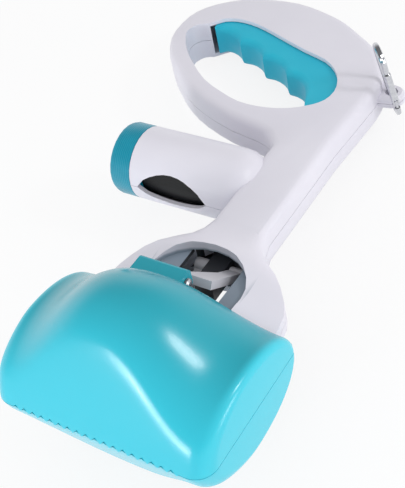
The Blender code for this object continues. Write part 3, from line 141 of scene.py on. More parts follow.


# Shares of painted shade, in the handle's frame: the recess flanks, and the hollow inside the shells.
def paintedShadeShares(tree, place, look):
    offset = addNode(tree, "ShaderNodeVectorMath", {"operation": "SUBTRACT"}, {1: handleFrame.translation},
                     {0: place})
    parts = []
    for axis in (acrossHandle, alongHandle, outOfHandle):
        dot = addNode(tree, "ShaderNodeVectorMath", {"operation": "DOT_PRODUCT"}, {1: axis},
                      {0: offset.outputs["Vector"]})
        parts.append(dot.outputs["Value"])
    across = addNode(tree, "ShaderNodeMath", {"operation": "ABSOLUTE"}, links={0: parts[0]})
    depth = addNode(tree, "ShaderNodeMath", {"operation": "ABSOLUTE"}, links={0: parts[2]})
    width = addNode(tree, "ShaderNodeMapRange",
                    values={"From Min": look["insideNarrows"][0], "From Max": look["insideNarrows"][1],
                            "To Min": look["insideHalfWidth"][0], "To Max": look["insideHalfWidth"][1]},
                    links={"Value": parts[1]})
    deep = addNode(tree, "ShaderNodeMath", {"operation": "LESS_THAN"}, {1: look["insideHalfDepth"]},
                   {0: depth.outputs[0]})
    recessed = addNode(tree, "ShaderNodeMapRange", {"interpolation_type": "SMOOTHSTEP"},
                       {"From Min": look["recessHalfDepth"][0], "From Max": look["recessHalfDepth"][1],
                        "To Min": 1.0, "To Max": 0.0}, {"Value": depth.outputs[0]})
    below = addNode(tree, "ShaderNodeMapRange",
                    values={"From Min": look["recessAlong"][0], "From Max": look["recessAlong"][1],
                            "To Min": 1.0, "To Max": 0.0},
                    links={"Value": parts[1]})
    recess = addNode(tree, "ShaderNodeMath", {"operation": "MULTIPLY"},
                     links={0: recessed.outputs["Result"], 1: below.outputs["Result"]})
    tests = [
        addNode(tree, "ShaderNodeMath", {"operation": "LESS_THAN"},
                links={0: across.outputs[0], 1: width.outputs["Result"]}),
        addNode(tree, "ShaderNodeMath", {"operation": "GREATER_THAN"}, {1: look["insideAlong"][0]},
                {0: parts[1]}),
        addNode(tree, "ShaderNodeMath", {"operation": "LESS_THAN"}, {1: look["insideAlong"][1]},
                {0: parts[1]}),
    ]
    share = tests[0].outputs[0]
    for test in tests[1:]:
        share = addNode(tree, "ShaderNodeMath", {"operation": "MULTIPLY"},
                        links={0: share, 1: test.outputs[0]}).outputs[0]
    return [addNode(tree, "ShaderNodeMath", {"operation": "MULTIPLY"},
                    links={0: share, 1: level}).outputs[0]
            for level in (recess.outputs[0], deep.outputs[0])]


def mouldedSatinAbs(name, look):
    material, tree = newTree(name)
    place = addNode(tree, "ShaderNodeTexCoord").outputs["Object"]
    flow = addNode(tree, "ShaderNodeTexNoise", values={"Scale": 1 / look["flowSize"], "Detail": 3.0},
                   links={"Vector": place})
    tint = addNode(tree, "ShaderNodeMixRGB",
                   values={"Color1": toLinear(look["colour"]), "Color2": toLinear(look["flowColour"])},
                   links={"Fac": flow.outputs["Fac"]})
    # Painted shade: the recess flanks and the hollow inside are drawn darker where shade falls.
    if "paintedInsideShade" in look:
        for colour, share in zip(("paintedRecessShade", "paintedInsideShade"), paintedShadeShares(tree, place, look)):
            tint = addNode(tree, "ShaderNodeMixRGB", values={"Color2": toLinear(look[colour])},
                           links={"Fac": share, "Color1": tint.outputs["Color"]})
    grain = addNode(tree, "ShaderNodeTexNoise", values={"Scale": 1 / look["grainSize"], "Detail": 4.0},
                    links={"Vector": place})
    gloss = addNode(tree, "ShaderNodeMapRange",
                    values={"To Min": look["roughness"] - look["roughnessSpread"][0],
                            "To Max": look["roughness"] + look["roughnessSpread"][1]},
                    links={"Value": grain.outputs["Fac"]})
    bump = addNode(tree, "ShaderNodeBump",
                   values={"Strength": look["bumpStrength"], "Distance": look["grainDepth"]},
                   links={"Height": grain.outputs["Fac"]})
    finishTree(tree, {"IOR": look["ior"]},
               {"Base Color": tint.outputs["Color"], "Roughness": gloss.outputs["Result"],
                "Normal": bump.outputs["Normal"]})
    return material


# Trigger grip: thermoplastic rubber over moulded, so softer and duller than the shells, with a dry skin.
gripSkin = {
    "colour": "#0CBAD6",
    "wornColour": "#26C4DC",
    "roughness": 0.5,
    "roughnessSpread": (0.04, 0.08),
    "ior": 1.5,
    "grainSize": 0.8 * mm,  # dry skin of the rubber, drawn about five times coarser
    "grainDepth": 0.03 * mm,
    "bumpStrength": 0.4,
    "wearSize": 12 * mm,  # a fingertip
    "wearRange": (0.45, 0.8),
    "wearMost": 0.35,
    "sheen": 0.08,
    "sheenRoughness": 0.5,
}


def mouldedSoftRubber(name, look):
    material, tree = newTree(name)
    place = addNode(tree, "ShaderNodeTexCoord").outputs["Object"]
    wear = addNode(tree, "ShaderNodeTexNoise", values={"Scale": 1 / look["wearSize"], "Detail": 2.0},
                   links={"Vector": place})
    wearShare = addNode(tree, "ShaderNodeMapRange",
                        values={"From Min": look["wearRange"][0], "From Max": look["wearRange"][1],
                                "To Max": look["wearMost"]},
                        links={"Value": wear.outputs["Fac"]})
    tint = addNode(tree, "ShaderNodeMixRGB",
                   values={"Color1": toLinear(look["colour"]), "Color2": toLinear(look["wornColour"])},
                   links={"Fac": wearShare.outputs["Result"]})
    skin = addNode(tree, "ShaderNodeTexVoronoi", values={"Scale": 1 / look["grainSize"]},
                   links={"Vector": place})
    gloss = addNode(tree, "ShaderNodeMapRange",
                    values={"To Min": look["roughness"] - look["roughnessSpread"][0],
                            "To Max": look["roughness"] + look["roughnessSpread"][1]},
                    links={"Value": wear.outputs["Fac"]})
    bump = addNode(tree, "ShaderNodeBump",
                   values={"Strength": look["bumpStrength"], "Distance": look["grainDepth"]},
                   links={"Height": skin.outputs["Distance"]})
    finishTree(tree, {"IOR": look["ior"], "Sheen Weight": look["sheen"],
                      "Sheen Roughness": look["sheenRoughness"]},
               {"Base Color": tint.outputs["Color"], "Roughness": gloss.outputs["Result"],
                "Normal": bump.outputs["Normal"]})
    return material


# Jaws: polypropylene from a polished tool, so glossy and a little milky; lighter towards lip and ends is
# painted light, for faces that the lamps light more than the roof.
jawShells = {
    "colour": "#24A0B1",
    "paintedLipLight": "#2FC0D6",
    "lipStart": -34 * mm,  # along the handle
    "lipEnd": -86 * mm,
    "paintedEndLight": "#3CCDE2",
    "endStart": 49 * mm,  # across it, where the flat ends begin
    "endEnd": 54 * mm,
    "roughness": 0.24,
    "roughnessSpread": (0.05, 0.06),
    "ior": 1.49,
    "coat": 0.1,
    "coatRoughness": 0.1,
    "waveSize": 22 * mm,  # sink waves of a thin wall, real size
    "waveDepth": 0.05 * mm,
    "bumpStrength": 0.5,
    "grainSize": 1.4 * mm,
}


def mouldedGlossPolypropylene(name, look):
    material, tree = newTree(name)
    place = addNode(tree, "ShaderNodeTexCoord").outputs["Object"]
    along = addNode(tree, "ShaderNodeVectorMath", {"operation": "DOT_PRODUCT"}, {1: alongHandle},
                    {0: place})
    start = handleFrame.translation.dot(alongHandle)
    # Painted light: the colour grows lighter towards the lip and towards the flat ends, where the lamps
    # light the faces more.
    litTowardsLip = addNode(tree, "ShaderNodeMapRange", {"interpolation_type": "SMOOTHSTEP"},
                         {"From Min": start + look["lipStart"], "From Max": start + look["lipEnd"]},
                         {"Value": along.outputs["Value"]})
    parts = addNode(tree, "ShaderNodeSeparateXYZ", links={"Vector": place})
    fromMiddle = addNode(tree, "ShaderNodeMath", {"operation": "SUBTRACT"}, {1: handleFrame.translation.x},
                         {0: parts.outputs["X"]})
    across = addNode(tree, "ShaderNodeMath", {"operation": "ABSOLUTE"},
                     links={0: fromMiddle.outputs["Value"]})
    litTowardsEnd = addNode(tree, "ShaderNodeMapRange", {"interpolation_type": "SMOOTHSTEP"},
                         {"From Min": look["endStart"], "From Max": look["endEnd"]},
                         {"Value": across.outputs["Value"]})
    shade = addNode(tree, "ShaderNodeMixRGB",
                    values={"Color1": toLinear(look["colour"]), "Color2": toLinear(look["paintedLipLight"])},
                    links={"Fac": litTowardsLip.outputs["Result"]})
    tint = addNode(tree, "ShaderNodeMixRGB", values={"Color2": toLinear(look["paintedEndLight"])},
                   links={"Fac": litTowardsEnd.outputs["Result"], "Color1": shade.outputs["Color"]})
    waves = addNode(tree, "ShaderNodeTexNoise", values={"Scale": 1 / look["waveSize"], "Detail": 1.0},
                    links={"Vector": place})
    grain = addNode(tree, "ShaderNodeTexNoise", values={"Scale": 1 / look["grainSize"], "Detail": 3.0},
                    links={"Vector": place})
    gloss = addNode(tree, "ShaderNodeMapRange",
                    values={"To Min": look["roughness"] - look["roughnessSpread"][0],
                            "To Max": look["roughness"] + look["roughnessSpread"][1]},
                    links={"Value": grain.outputs["Fac"]})
    bump = addNode(tree, "ShaderNodeBump",
                   values={"Strength": look["bumpStrength"], "Distance": look["waveDepth"]},
                   links={"Height": waves.outputs["Fac"]})
    finishTree(tree, {"IOR": look["ior"], "Coat Weight": look["coat"],
                      "Coat Roughness": look["coatRoughness"]},
               {"Base Color": tint.outputs["Color"], "Roughness": gloss.outputs["Result"],
                "Normal": bump.outputs["Normal"]})
    return material


# Dispenser cap: the jaws' plastic in a deeper teal, turned by use, so finer rings of rubbing round its axis.
capSkin = {
    "colour": "#008EA8",
    "rubbedColour": "#06A0BC",
    "roughness": 0.3,
    "roughnessSpread": (0.04, 0.1),
    "ior": 1.5,
    "ringPitch": 1.1 * mm,  # rubbing marks are about 0.2 mm apart, drawn five times coarser
    "ringDepth": 0.005 * mm,
    "ringDistortion": 1.5,
    "bumpStrength": 0.4,
    "patchSize": 9 * mm,
    "patchRange": (0.45, 0.75),
    "patchMost": 0.5,
}
waveScaleOfOneRing = 0.314  # the wave texture's Scale that draws one ring a metre


def mouldedCapPlastic(name, look):
    material, tree = newTree(name)
    place = addNode(tree, "ShaderNodeTexCoord").outputs["Object"]
    rings = addNode(tree, "ShaderNodeTexWave", {"bands_direction": "X"},
                    {"Scale": waveScaleOfOneRing / look["ringPitch"], "Distortion": look["ringDistortion"],
                     "Detail": 2.0}, {"Vector": place})
    patches = addNode(tree, "ShaderNodeTexNoise", values={"Scale": 1 / look["patchSize"], "Detail": 3.0},
                      links={"Vector": place})
    rubbed = addNode(tree, "ShaderNodeMapRange",
                     values={"From Min": look["patchRange"][0], "From Max": look["patchRange"][1],
                             "To Max": look["patchMost"]},
                     links={"Value": patches.outputs["Fac"]})
    tint = addNode(tree, "ShaderNodeMixRGB",
                   values={"Color1": toLinear(look["colour"]), "Color2": toLinear(look["rubbedColour"])},
                   links={"Fac": rubbed.outputs["Result"]})
    gloss = addNode(tree, "ShaderNodeMapRange",
                    values={"To Min": look["roughness"] - look["roughnessSpread"][0],
                            "To Max": look["roughness"] + look["roughnessSpread"][1]},
                    links={"Value": rings.outputs["Fac"]})
    bump = addNode(tree, "ShaderNodeBump",
                   values={"Strength": look["bumpStrength"], "Distance": look["ringDepth"]},
                   links={"Height": rings.outputs["Fac"]})
    finishTree(tree, {"IOR": look["ior"]},
               {"Base Color": tint.outputs["Color"], "Roughness": gloss.outputs["Result"],
                "Normal": bump.outputs["Normal"]})
    return material


# Links: acetal, moulded, so waxy white-grey with a low even shine.
linkSkin = {
    "colour": "#D9D8DE",
    "flowColour": "#CBC9D2",
    "roughness": 0.34,
    "roughnessSpread": (0.05, 0.07),
    "ior": 1.48,
    "grainSize": 0.5 * mm,
    "grainDepth": 0.015 * mm,
    "bumpStrength": 0.6,
    "flowSize": 15 * mm,
}

# Yoke and carrier: the same acetal in dark grey, which keeps what shows of them through the hood's opening
# dark.
yokeSkin = dict(linkSkin, colour="#3A3C42", flowColour="#2E3036", roughness=0.4)

# Pins, rod, spring and screws: zinc-plated steel, drawn or turned, so bright with fine lines along the wire.
platedSteel = {
    "colour": "#C4C5C9",
    "lineColour": "#A9ABB1",
    "roughness": 0.28,
    "roughnessSpread": (0.05, 0.12),
    "lineSize": 0.5 * mm,
    "lineDepth": 0.01 * mm,
    "lineStretch": 0.15,  # along Y, roughly the way that the wire is drawn
    "bumpStrength": 0.3,
}

# Snap hook: die cast and chromium plated, so mirror bright with a few handling scuffs.
hookPlating = dict(platedSteel, colour="#DEDFE3", lineColour="#B9BBC2", roughness=0.13,
                   lineSize=1.6 * mm, lineDepth=0.02 * mm)


def brightMetal(name, look):
    material, tree = newTree(name)
    place = addNode(tree, "ShaderNodeTexCoord").outputs["Object"]
    drawn = addNode(tree, "ShaderNodeMapping", values={"Scale": (1.0, look["lineStretch"], 1.0)},
                    links={"Vector": place})
    lines = addNode(tree, "ShaderNodeTexNoise", values={"Scale": 1 / look["lineSize"], "Detail": 4.0},
                    links={"Vector": drawn.outputs["Vector"]})
    tint = addNode(tree, "ShaderNodeMixRGB",
                   values={"Color1": toLinear(look["colour"]), "Color2": toLinear(look["lineColour"])},
                   links={"Fac": lines.outputs["Fac"]})
    gloss = addNode(tree, "ShaderNodeMapRange",
                    values={"To Min": look["roughness"] - look["roughnessSpread"][0],
                            "To Max": look["roughness"] + look["roughnessSpread"][1]},
                    links={"Value": lines.outputs["Fac"]})
    bump = addNode(tree, "ShaderNodeBump",
                   values={"Strength": look["bumpStrength"], "Distance": look["lineDepth"]},
                   links={"Height": lines.outputs["Fac"]})
    finishTree(tree, {"Metallic": 1.0},
               {"Base Color": tint.outputs["Color"], "Roughness": gloss.outputs["Result"],
                "Normal": bump.outputs["Normal"]})
    return material


# Bag roll: black polyethylene film, blown and wound, so turns show as fine rings and its face is crinkled.
rollFilm = {
    "colour": "#07080A",
    "edgeColour": "#15171A",
    "roughness": 0.42,
    "shine": 0.25,  # crinkled film scatters most of its shine
    "ior": 1.51,
    "crinkleSize": 5 * mm,
    "crinkleDepth": 0.25 * mm,
    "crinkleDistortion": 0.8,
    "stretchAcross": 0.35,  # crinkles run along the roll
    "bumpStrength": 0.8,
    "turnPitch": 0.7 * mm,  # film is 0.02 mm thick, so turns are drawn far coarser
}


def woundBagFilm(name, look):
    material, tree = newTree(name)
    place = addNode(tree, "ShaderNodeTexCoord").outputs["Object"]
    stretched = addNode(tree, "ShaderNodeMapping", values={"Scale": (look["stretchAcross"], 1.0, 1.0)},
                        links={"Vector": place})
    crinkles = addNode(tree, "ShaderNodeTexNoise",
                       values={"Scale": 1 / look["crinkleSize"], "Detail": 5.0,
                               "Distortion": look["crinkleDistortion"]},
                       links={"Vector": stretched.outputs["Vector"]})
    turns = addNode(tree, "ShaderNodeTexNoise", values={"Scale": 1 / look["turnPitch"], "Detail": 1.0},
                    links={"Vector": stretched.outputs["Vector"]})
    tint = addNode(tree, "ShaderNodeMixRGB",
                   values={"Color1": toLinear(look["colour"]), "Color2": toLinear(look["edgeColour"])},
                   links={"Fac": turns.outputs["Fac"]})
    bump = addNode(tree, "ShaderNodeBump",
                   values={"Strength": look["bumpStrength"], "Distance": look["crinkleDepth"]},
                   links={"Height": crinkles.outputs["Fac"]})
    finishTree(tree, {"IOR": look["ior"], "Roughness": look["roughness"],
                      "Specular IOR Level": look["shine"]},
               {"Base Color": tint.outputs["Color"], "Normal": bump.outputs["Normal"]})
    return material


# Roll core: grey board, rolled and glued, so matt and fibrous.
coreBoard = {
    "colour": "#A58F74",
    "fibreColour": "#8C775D",
    "roughness": 0.85,
    "ior": 1.45,
    "fibreSize": 1.2 * mm,
    "fibreDepth": 0.08 * mm,
    "fibreDistortion": 1.2,
    "bumpStrength": 0.6,
}


def rolledBoard(name, look):
    material, tree = newTree(name)
    place = addNode(tree, "ShaderNodeTexCoord").outputs["Object"]
    fibres = addNode(tree, "ShaderNodeTexNoise",
                     values={"Scale": 1 / look["fibreSize"], "Detail": 6.0,
                             "Distortion": look["fibreDistortion"]},
                     links={"Vector": place})
    tint = addNode(tree, "ShaderNodeMixRGB",
                   values={"Color1": toLinear(look["colour"]), "Color2": toLinear(look["fibreColour"])},
                   links={"Fac": fibres.outputs["Fac"]})
    bump = addNode(tree, "ShaderNodeBump",
                   values={"Strength": look["bumpStrength"], "Distance": look["fibreDepth"]},
                   links={"Height": fibres.outputs["Fac"]})
    finishTree(tree, {"Roughness": look["roughness"], "IOR": look["ior"]},
               {"Base Color": tint.outputs["Color"], "Normal": bump.outputs["Normal"]})
    return material


finishes = {
    "handle_plastic": mouldedSatinAbs("satin ABS, spark-eroded grain", handleShells),
    "grip_plastic": mouldedSoftRubber("soft thermoplastic rubber, dry skin", gripSkin),
    "inner_plastic": mouldedSatinAbs("acetal, plain moulded", linkSkin),
    "yoke_plastic": mouldedSatinAbs("dark acetal, plain moulded", yokeSkin),
    "jaw_plastic": mouldedGlossPolypropylene("polypropylene, polished mould", jawShells),
    "cap_plastic": mouldedCapPlastic("teal polypropylene, rubbed", capSkin),
    "steel": brightMetal("zinc-plated steel, drawn", platedSteel),
    "chrome_wire": brightMetal("chromium-plated die casting", hookPlating),
    "bag_film": woundBagFilm("black polyethylene film, wound", rollFilm),
    "card": rolledBoard("grey board, rolled", coreBoard),
}
slotOfNode = {row["node"]: row["material_slot"] for row in frame["record"]["subparts"]}
for nodeName, node in nodes.items():
    node.material_slots[0].material = finishes[slotOfNode[nodeName]]
print("finishes made:", len(finishes))


# Faceted CAD faces read as one moulded surface: turns under this angle are smoothed, the rest stay crisp.
moulding = {"crispAngle": 32, "mergeWithin": 0.002 * mm}


def smoothingGroup(look):
    group = bpy.data.node_groups.new("mouldedSurface", "GeometryNodeTree")
    group.interface.new_socket("Geometry", in_out="INPUT", socket_type="NodeSocketGeometry")
    group.interface.new_socket("Geometry", in_out="OUTPUT", socket_type="NodeSocketGeometry")
    source = addNode(group, "NodeGroupInput").outputs[0]
    plain = addNode(group, "GeometryNodeRemoveAttribute", values={"Name": "custom_normal"},
                    links={"Geometry": source})
    merged = addNode(group, "GeometryNodeMergeByDistance", values={"Distance": look["mergeWithin"]},
                     links={"Geometry": plain.outputs["Geometry"]})
    edge = addNode(group, "GeometryNodeInputMeshEdgeAngle")
    crisp = addNode(group, "ShaderNodeMath", {"operation": "GREATER_THAN"},
                    {1: math.radians(look["crispAngle"])},
                    {0: edge.outputs["Unsigned Angle"]})
    faces = addNode(group, "GeometryNodeSetShadeSmooth", {"domain": "FACE"},
                    links={"Geometry": merged.outputs["Geometry"]})
    keepCrisp = addNode(group, "FunctionNodeBooleanMath", {"operation": "NOT"}, links={0: crisp.outputs[0]})
    edges = addNode(group, "GeometryNodeSetShadeSmooth", {"domain": "EDGE"},
                    links={"Geometry": faces.outputs["Geometry"], "Shade Smooth": keepCrisp.outputs[0]})
    addNode(group, "NodeGroupOutput", links={0: edges.outputs["Geometry"]})
    return group


surfaceGroup = smoothingGroup(moulding)
for nodeName, node in nodes.items():
    modifier = node.modifiers.new("mouldedSurface", "NODES")
    modifier.node_group = surfaceGroup
print("surfaces smoothed")


# Small tools for solid pieces, drawn in the handle's frame.

def solidFrom(rings):
    mesh = bmesh.new()
    loops = [[mesh.verts.new(spot) for spot in ring] for ring in rings]
    for low, high in zip(loops, loops[1:]):
        for index in range(len(low)):
            after = (index + 1) % len(low)
            mesh.faces.new((low[index], low[after], high[after], high[index]))
    mesh.faces.new(list(reversed(loops[0])))
    mesh.faces.new(loops[-1])
    bmesh.ops.recalc_face_normals(mesh, faces=mesh.faces)
    data = bpy.data.meshes.new("solid")
    mesh.to_mesh(data)
    mesh.free()
    solid = bpy.data.objects.new("solid", data)
    bpy.context.scene.collection.objects.link(solid)
    return solid


def turned(profile, middle, steps):
    # profile is (place along X, radius)
    angles = [2 * math.pi * step / steps for step in range(steps)]
    return solidFrom([[(x, middle[1] + r * math.cos(a), middle[2] + r * math.sin(a)) for a in angles]
                      for x, r in profile])


def slab(outline, startX, endX):
    # outline is (y, z)
    return solidFrom([[(x, y, z) for y, z in outline] for x in (startX, endX)])


def block(low, high):
    corners = [(low[1], low[2]), (high[1], low[2]), (high[1], high[2]), (low[1], high[2])]
    return slab(corners, low[0], high[0])


def volumeOf(data):
    probe = bmesh.new()
    probe.from_mesh(data)
    closed = all(len(edge.link_faces) == 2 for edge in probe.edges)
    volume = probe.calc_volume()
    probe.free()
    return volume, closed


# A boolean's result counts when it is closed and its volume fits, within this share of both volumes.
carving = {"slackShare": 0.0005, "solvers": ("EXACT", "MANIFOLD")}


def carve(base, operation, *tools):
    for tool in tools:
        first, second = volumeOf(base.data)[0], volumeOf(tool.data)[0]
        limits = {"UNION": (max(first, second), first + second), "DIFFERENCE": (first - second, first),
                  "INTERSECT": (0, min(first, second))}[operation]
        slack = carving["slackShare"] * (first + second)
        for solver in carving["solvers"]:
            modifier = base.modifiers.new("carve", "BOOLEAN")
            modifier.operation = operation
            modifier.solver = solver
            modifier.object = tool
            bpy.context.view_layer.update()
            graph = bpy.context.evaluated_depsgraph_get()
            shaped = bpy.data.meshes.new_from_object(base.evaluated_get(graph))
            base.modifiers.clear()
            volume, closed = volumeOf(shaped)
            if closed and volume > 0 and limits[0] - slack <= volume <= limits[1] + slack:
                break
        base.data = shaped
        bpy.data.objects.remove(tool)
    return base


def placePiece(piece, name, body, slotName, replaced):
    piece.data.transform(handleFrame)
    piece.name = name
    piece.data.name = name
    piece.data.materials.clear()
    piece.data.materials.append(finishes[slotName])
    for face in piece.data.polygons:
        face.use_smooth = True
    piece.data.set_sharp_from_angle(angle=math.radians(moulding["crispAngle"]))
    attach(piece, body)
    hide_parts(*replaced)


# Jaws: one clam shell used twice, the CAD jaw's own shape in finer steps.
jaws = {
    "width": 109 * mm,
    "length": 76 * mm,
    "backY": -14 * mm,
    "crown": 49.5 * mm,
    "endCrown": 22.5 * mm,
    "wall": 2.2 * mm,
    "leastLean": 0.05,  # a cosine, which keeps the front's distance finite
    "roofHalf": 38 * mm,
    "lipReach": 38 * mm,
    "frontLean": math.radians(23),
    "crownHalfWidth": 52 * mm,
    "crownFall": 1.2,
    "creasePower": 28,
    "roofPower": 2.0,
    "creaseLimit": math.radians(88),
    "creaseTries": 30,
    "roofEndRound": 4 * mm,
    "lipEndRound": 9.5 * mm,
    "overlapTurn": math.radians(2.4),
    "stationsPerSide": 34,
    "stationBias": 0.9,  # below 1, stations crowd towards the ends
    "frontRows": 26,
    "frontBias": 1.4,  # above 1, rows crowd towards the crease, on both its sides
    "roofRows": 54,
    "roofBias": 1.3,
    "seamGap": 0.3 * mm,
    "toothPitch": 4.66 * mm,
    "toothHeight": 2.4 * mm,
    "toothCount": 18,
    "toothZoneY": -80 * mm,
    "opening": math.radians(25),
    "openingRoom": 1.25,
    "reliefRun": 2 * mm,
    "overrun": 1 * mm,  # how far a cut goes on past what it cuts
}

# The jaws' hinge ears, and the round room cut into the jaws for the handle's skirt.
hinge = {
    "y": hingeInHandle["alongHandle"],
    "pinRadius": 2 * mm,
    "pinSides": 32,
    "seatGap": 0.3 * mm,
    "earRadius": 4.6 * mm,
    "earSides": 48,
    "earThickness": 3.2 * mm,
    "earGap": 0.4 * mm,
    "earStep": 3.6 * mm,
    "earWeb": ((-3.2, 0.6), (-0.5, 0.2), (0.75, 0.35), (0.5, 3.0), (-3.2, 4.0)),  # along and out, in radii
    "skirtHalfWidth": 44.6 * mm,
    "drumRadius": 20.6 * mm,
    "drumShares": ((0.0, 1.0), (0.2, 0.96), (0.42, 0.80), (0.62, 0.59), (0.76, 0.48), (0.88, 0.36),
                   (1.0, 0.24)),
    "drumSteps": 40,
    "drumSides": 96,
    "drumGapShare": 1.5,
    "drumEndRun": 0.1 * mm,
    "endRoom": 8.4 * mm,
    "swingGap": 0.8 * mm,
}

# The knuckle tab that a link's outer end sits in.
knuckle = {
    "leftX": -20.5 * mm,
    "rightX": 4.5 * mm,
    "backY": -11 * mm,
    "topZ": 26.8 * mm,
    "footZ": 17.5 * mm,
    "footInset": 0.55 * mm,
    "roundSteps": 6,
    "slotLeftX": -3.1 * mm,
    "slotRightX": 1.7 * mm,
    "roof": 1.3 * mm,
    "pinY": -15.5 * mm,
    "pinZ": 21.5 * mm,
    "pinRadius": 1.9 * mm,
    "domeRadius": 2.7 * mm,
    "domeGap": 0.5 * mm,
}
jawAxisY = jaws["backY"] - jaws["roofHalf"]


def crownAt(x):
    share = min(abs(x) / jaws["crownHalfWidth"], 1.0) ** jaws["crownFall"]
    return jaws["endCrown"] + (jaws["crown"] - jaws["endCrown"]) * math.cos(math.pi / 2 * share) ** 2


def frontAndRoof(turn, crown):
    lean = math.cos(turn - jaws["frontLean"])
    front = jaws["lipReach"] * math.cos(jaws["frontLean"]) / max(lean, jaws["leastLean"])
    power = jaws["roofPower"]
    flat, steep = abs(math.cos(turn)) / jaws["roofHalf"], abs(math.sin(turn)) / crown
    return front, (flat ** power + steep ** power) ** (-1 / power)


def creaseAt(crown):
    low, high = 0.0, jaws["creaseLimit"]
    for _ in range(jaws["creaseTries"]):
        middle = (low + high) / 2
        front, roof = frontAndRoof(middle, crown)
        low, high = (middle, high) if front < roof else (low, middle)
    return low


def jawSection(x, inset, drop):
    half = jaws["width"] / 2 - inset
    crown = crownAt(x)
    crease = creaseAt(crown)
    start, end = -jaws["overlapTurn"], math.pi + jaws["overlapTurn"]
    fronts = [1 - (1 - step / jaws["frontRows"]) ** jaws["frontBias"]
              for step in range(jaws["frontRows"] + 1)]
    roofs = [(step / jaws["roofRows"]) ** jaws["roofBias"] for step in range(1, jaws["roofRows"] + 1)]
    turns = [start + (crease - start) * share for share in fronts]
    turns += [crease + (end - crease) * share for share in roofs]
    power = jaws["creasePower"]
    section = []
    for turn in turns:
        front, roof = frontAndRoof(turn, crown)
        reach = (front ** -power + roof ** -power) ** (-1 / power) - inset
        forward = max(math.cos(turn), 0.0) ** 2
        corner = jaws["roofEndRound"] + (jaws["lipEndRound"] - jaws["roofEndRound"]) * forward
        corner = max(corner - inset, jaws["roofEndRound"] / 4)
        left = half - abs(x)
        if left < corner:
            reach -= corner - math.sqrt(max(corner ** 2 - (corner - left) ** 2, 0.0))
        section.append((x, jawAxisY - reach * math.cos(turn), reach * math.sin(turn)))
    # A tool that hollows the jaw reaches down past its seam.
    if drop:
        first, last = section[0], section[-1]
        section = [(x, first[1], first[2] - drop)] + section + [(x, last[1], last[2] - drop)]
    return section


def jawSolid(inset, drop=0.0):
    half = jaws["width"] / 2 - inset
    count = jaws["stationsPerSide"]
    shares = [math.sin(math.pi / 2 * step / count) ** jaws["stationBias"] for step in range(1, count + 1)]
    shares = [-share for share in reversed(shares)] + [0.0] + shares
    return solidFrom([jawSection(half * share, inset, drop) for share in shares])


def toothComb():
    far = jaws["width"]
    floor = -jaws["endCrown"]
    rest = jaws["seamGap"] / 2
    height = jaws["toothHeight"] / 2
    peaks = [((index + 0.5) * jaws["toothPitch"] / 2, rest + height * (1 if index % 2 == 0 else -1))
             for index in reversed(range(-jaws["toothCount"], jaws["toothCount"]))]
    edge = jaws["toothCount"] * jaws["toothPitch"] / 2
    outline = [(-far, floor), (far, floor), (far, rest), (edge, rest)] + peaks
    outline += [(-edge, rest), (-far, rest)]
    ends = (jawAxisY - jaws["length"], jaws["toothZoneY"] + jaws["overrun"])
    return solidFrom([[(x, y, z) for x, z in outline] for y in ends])


def drumShare(share):
    for (a, low), (b, high) in zip(hinge["drumShares"], hinge["drumShares"][1:]):
        if share <= b:
            return low + (high - low) * (share - a) / (b - a)
    return hinge["drumShares"][-1][1]


def drumRoom():
    earRoom = hinge["earRadius"] + hinge["swingGap"]
    start = hinge["skirtHalfWidth"] + hinge["earGap"]
    shares = [step / hinge["drumSteps"] for step in range(hinge["drumSteps"] + 1)]
    gap = hinge["drumGapShare"] * hinge["swingGap"]
    right = [(share * hinge["skirtHalfWidth"],
              max(hinge["drumRadius"] * drumShare(share) + gap, hinge["endRoom"]))
             for share in shares]
    right += [(start - hinge["drumEndRun"], hinge["endRoom"]), (start, earRoom),
              (start + 2 * hinge["earStep"], earRoom)]
    profile = [(-x, radius) for x, radius in reversed(right[1:])] + right
    return turned(profile, (0, hinge["y"], 0), hinge["drumSides"])


def jawEar(x):
    y, r, end = hinge["y"], hinge["earRadius"], x + hinge["earThickness"]
    angles = [2 * math.pi * step / hinge["earSides"] for step in range(hinge["earSides"])]
    disc = slab([(y + r * math.cos(a), r * math.sin(a)) for a in angles], x, end)
    web = slab([(y + along * r, out * r) for along, out in hinge["earWeb"]], x, end)
    return disc, carve(web, "INTERSECT", jawSolid(jaws["wall"] / 3))


def knuckleTab():
    joint = hinge["y"] - 3 * hinge["swingGap"]
    lowY = knuckle["pinY"] - 4 * knuckle["pinRadius"] - jaws["wall"]
    foot = block((knuckle["leftX"], lowY, knuckle["footZ"]), (knuckle["rightX"], joint, jaws["crown"]))
    foot = carve(foot, "INTERSECT", jawSolid(knuckle["footInset"]))
    back, top, low = knuckle["backY"], knuckle["topZ"], knuckle["footZ"]
    r = (top - low) / 4
    arc = [math.pi / 2 * step / knuckle["roundSteps"] for step in range(knuckle["roundSteps"] + 1)]
    start = joint - jaws["overrun"]
    outline = [(start, low)]
    outline += [(back - r + r * math.sin(a), low + r - r * math.cos(a)) for a in arc]
    outline += [(back - r + r * math.cos(a), top - r + r * math.sin(a)) for a in arc]
    outline.append((start, top))
    return foot, slab(outline, knuckle["leftX"], knuckle["rightX"])


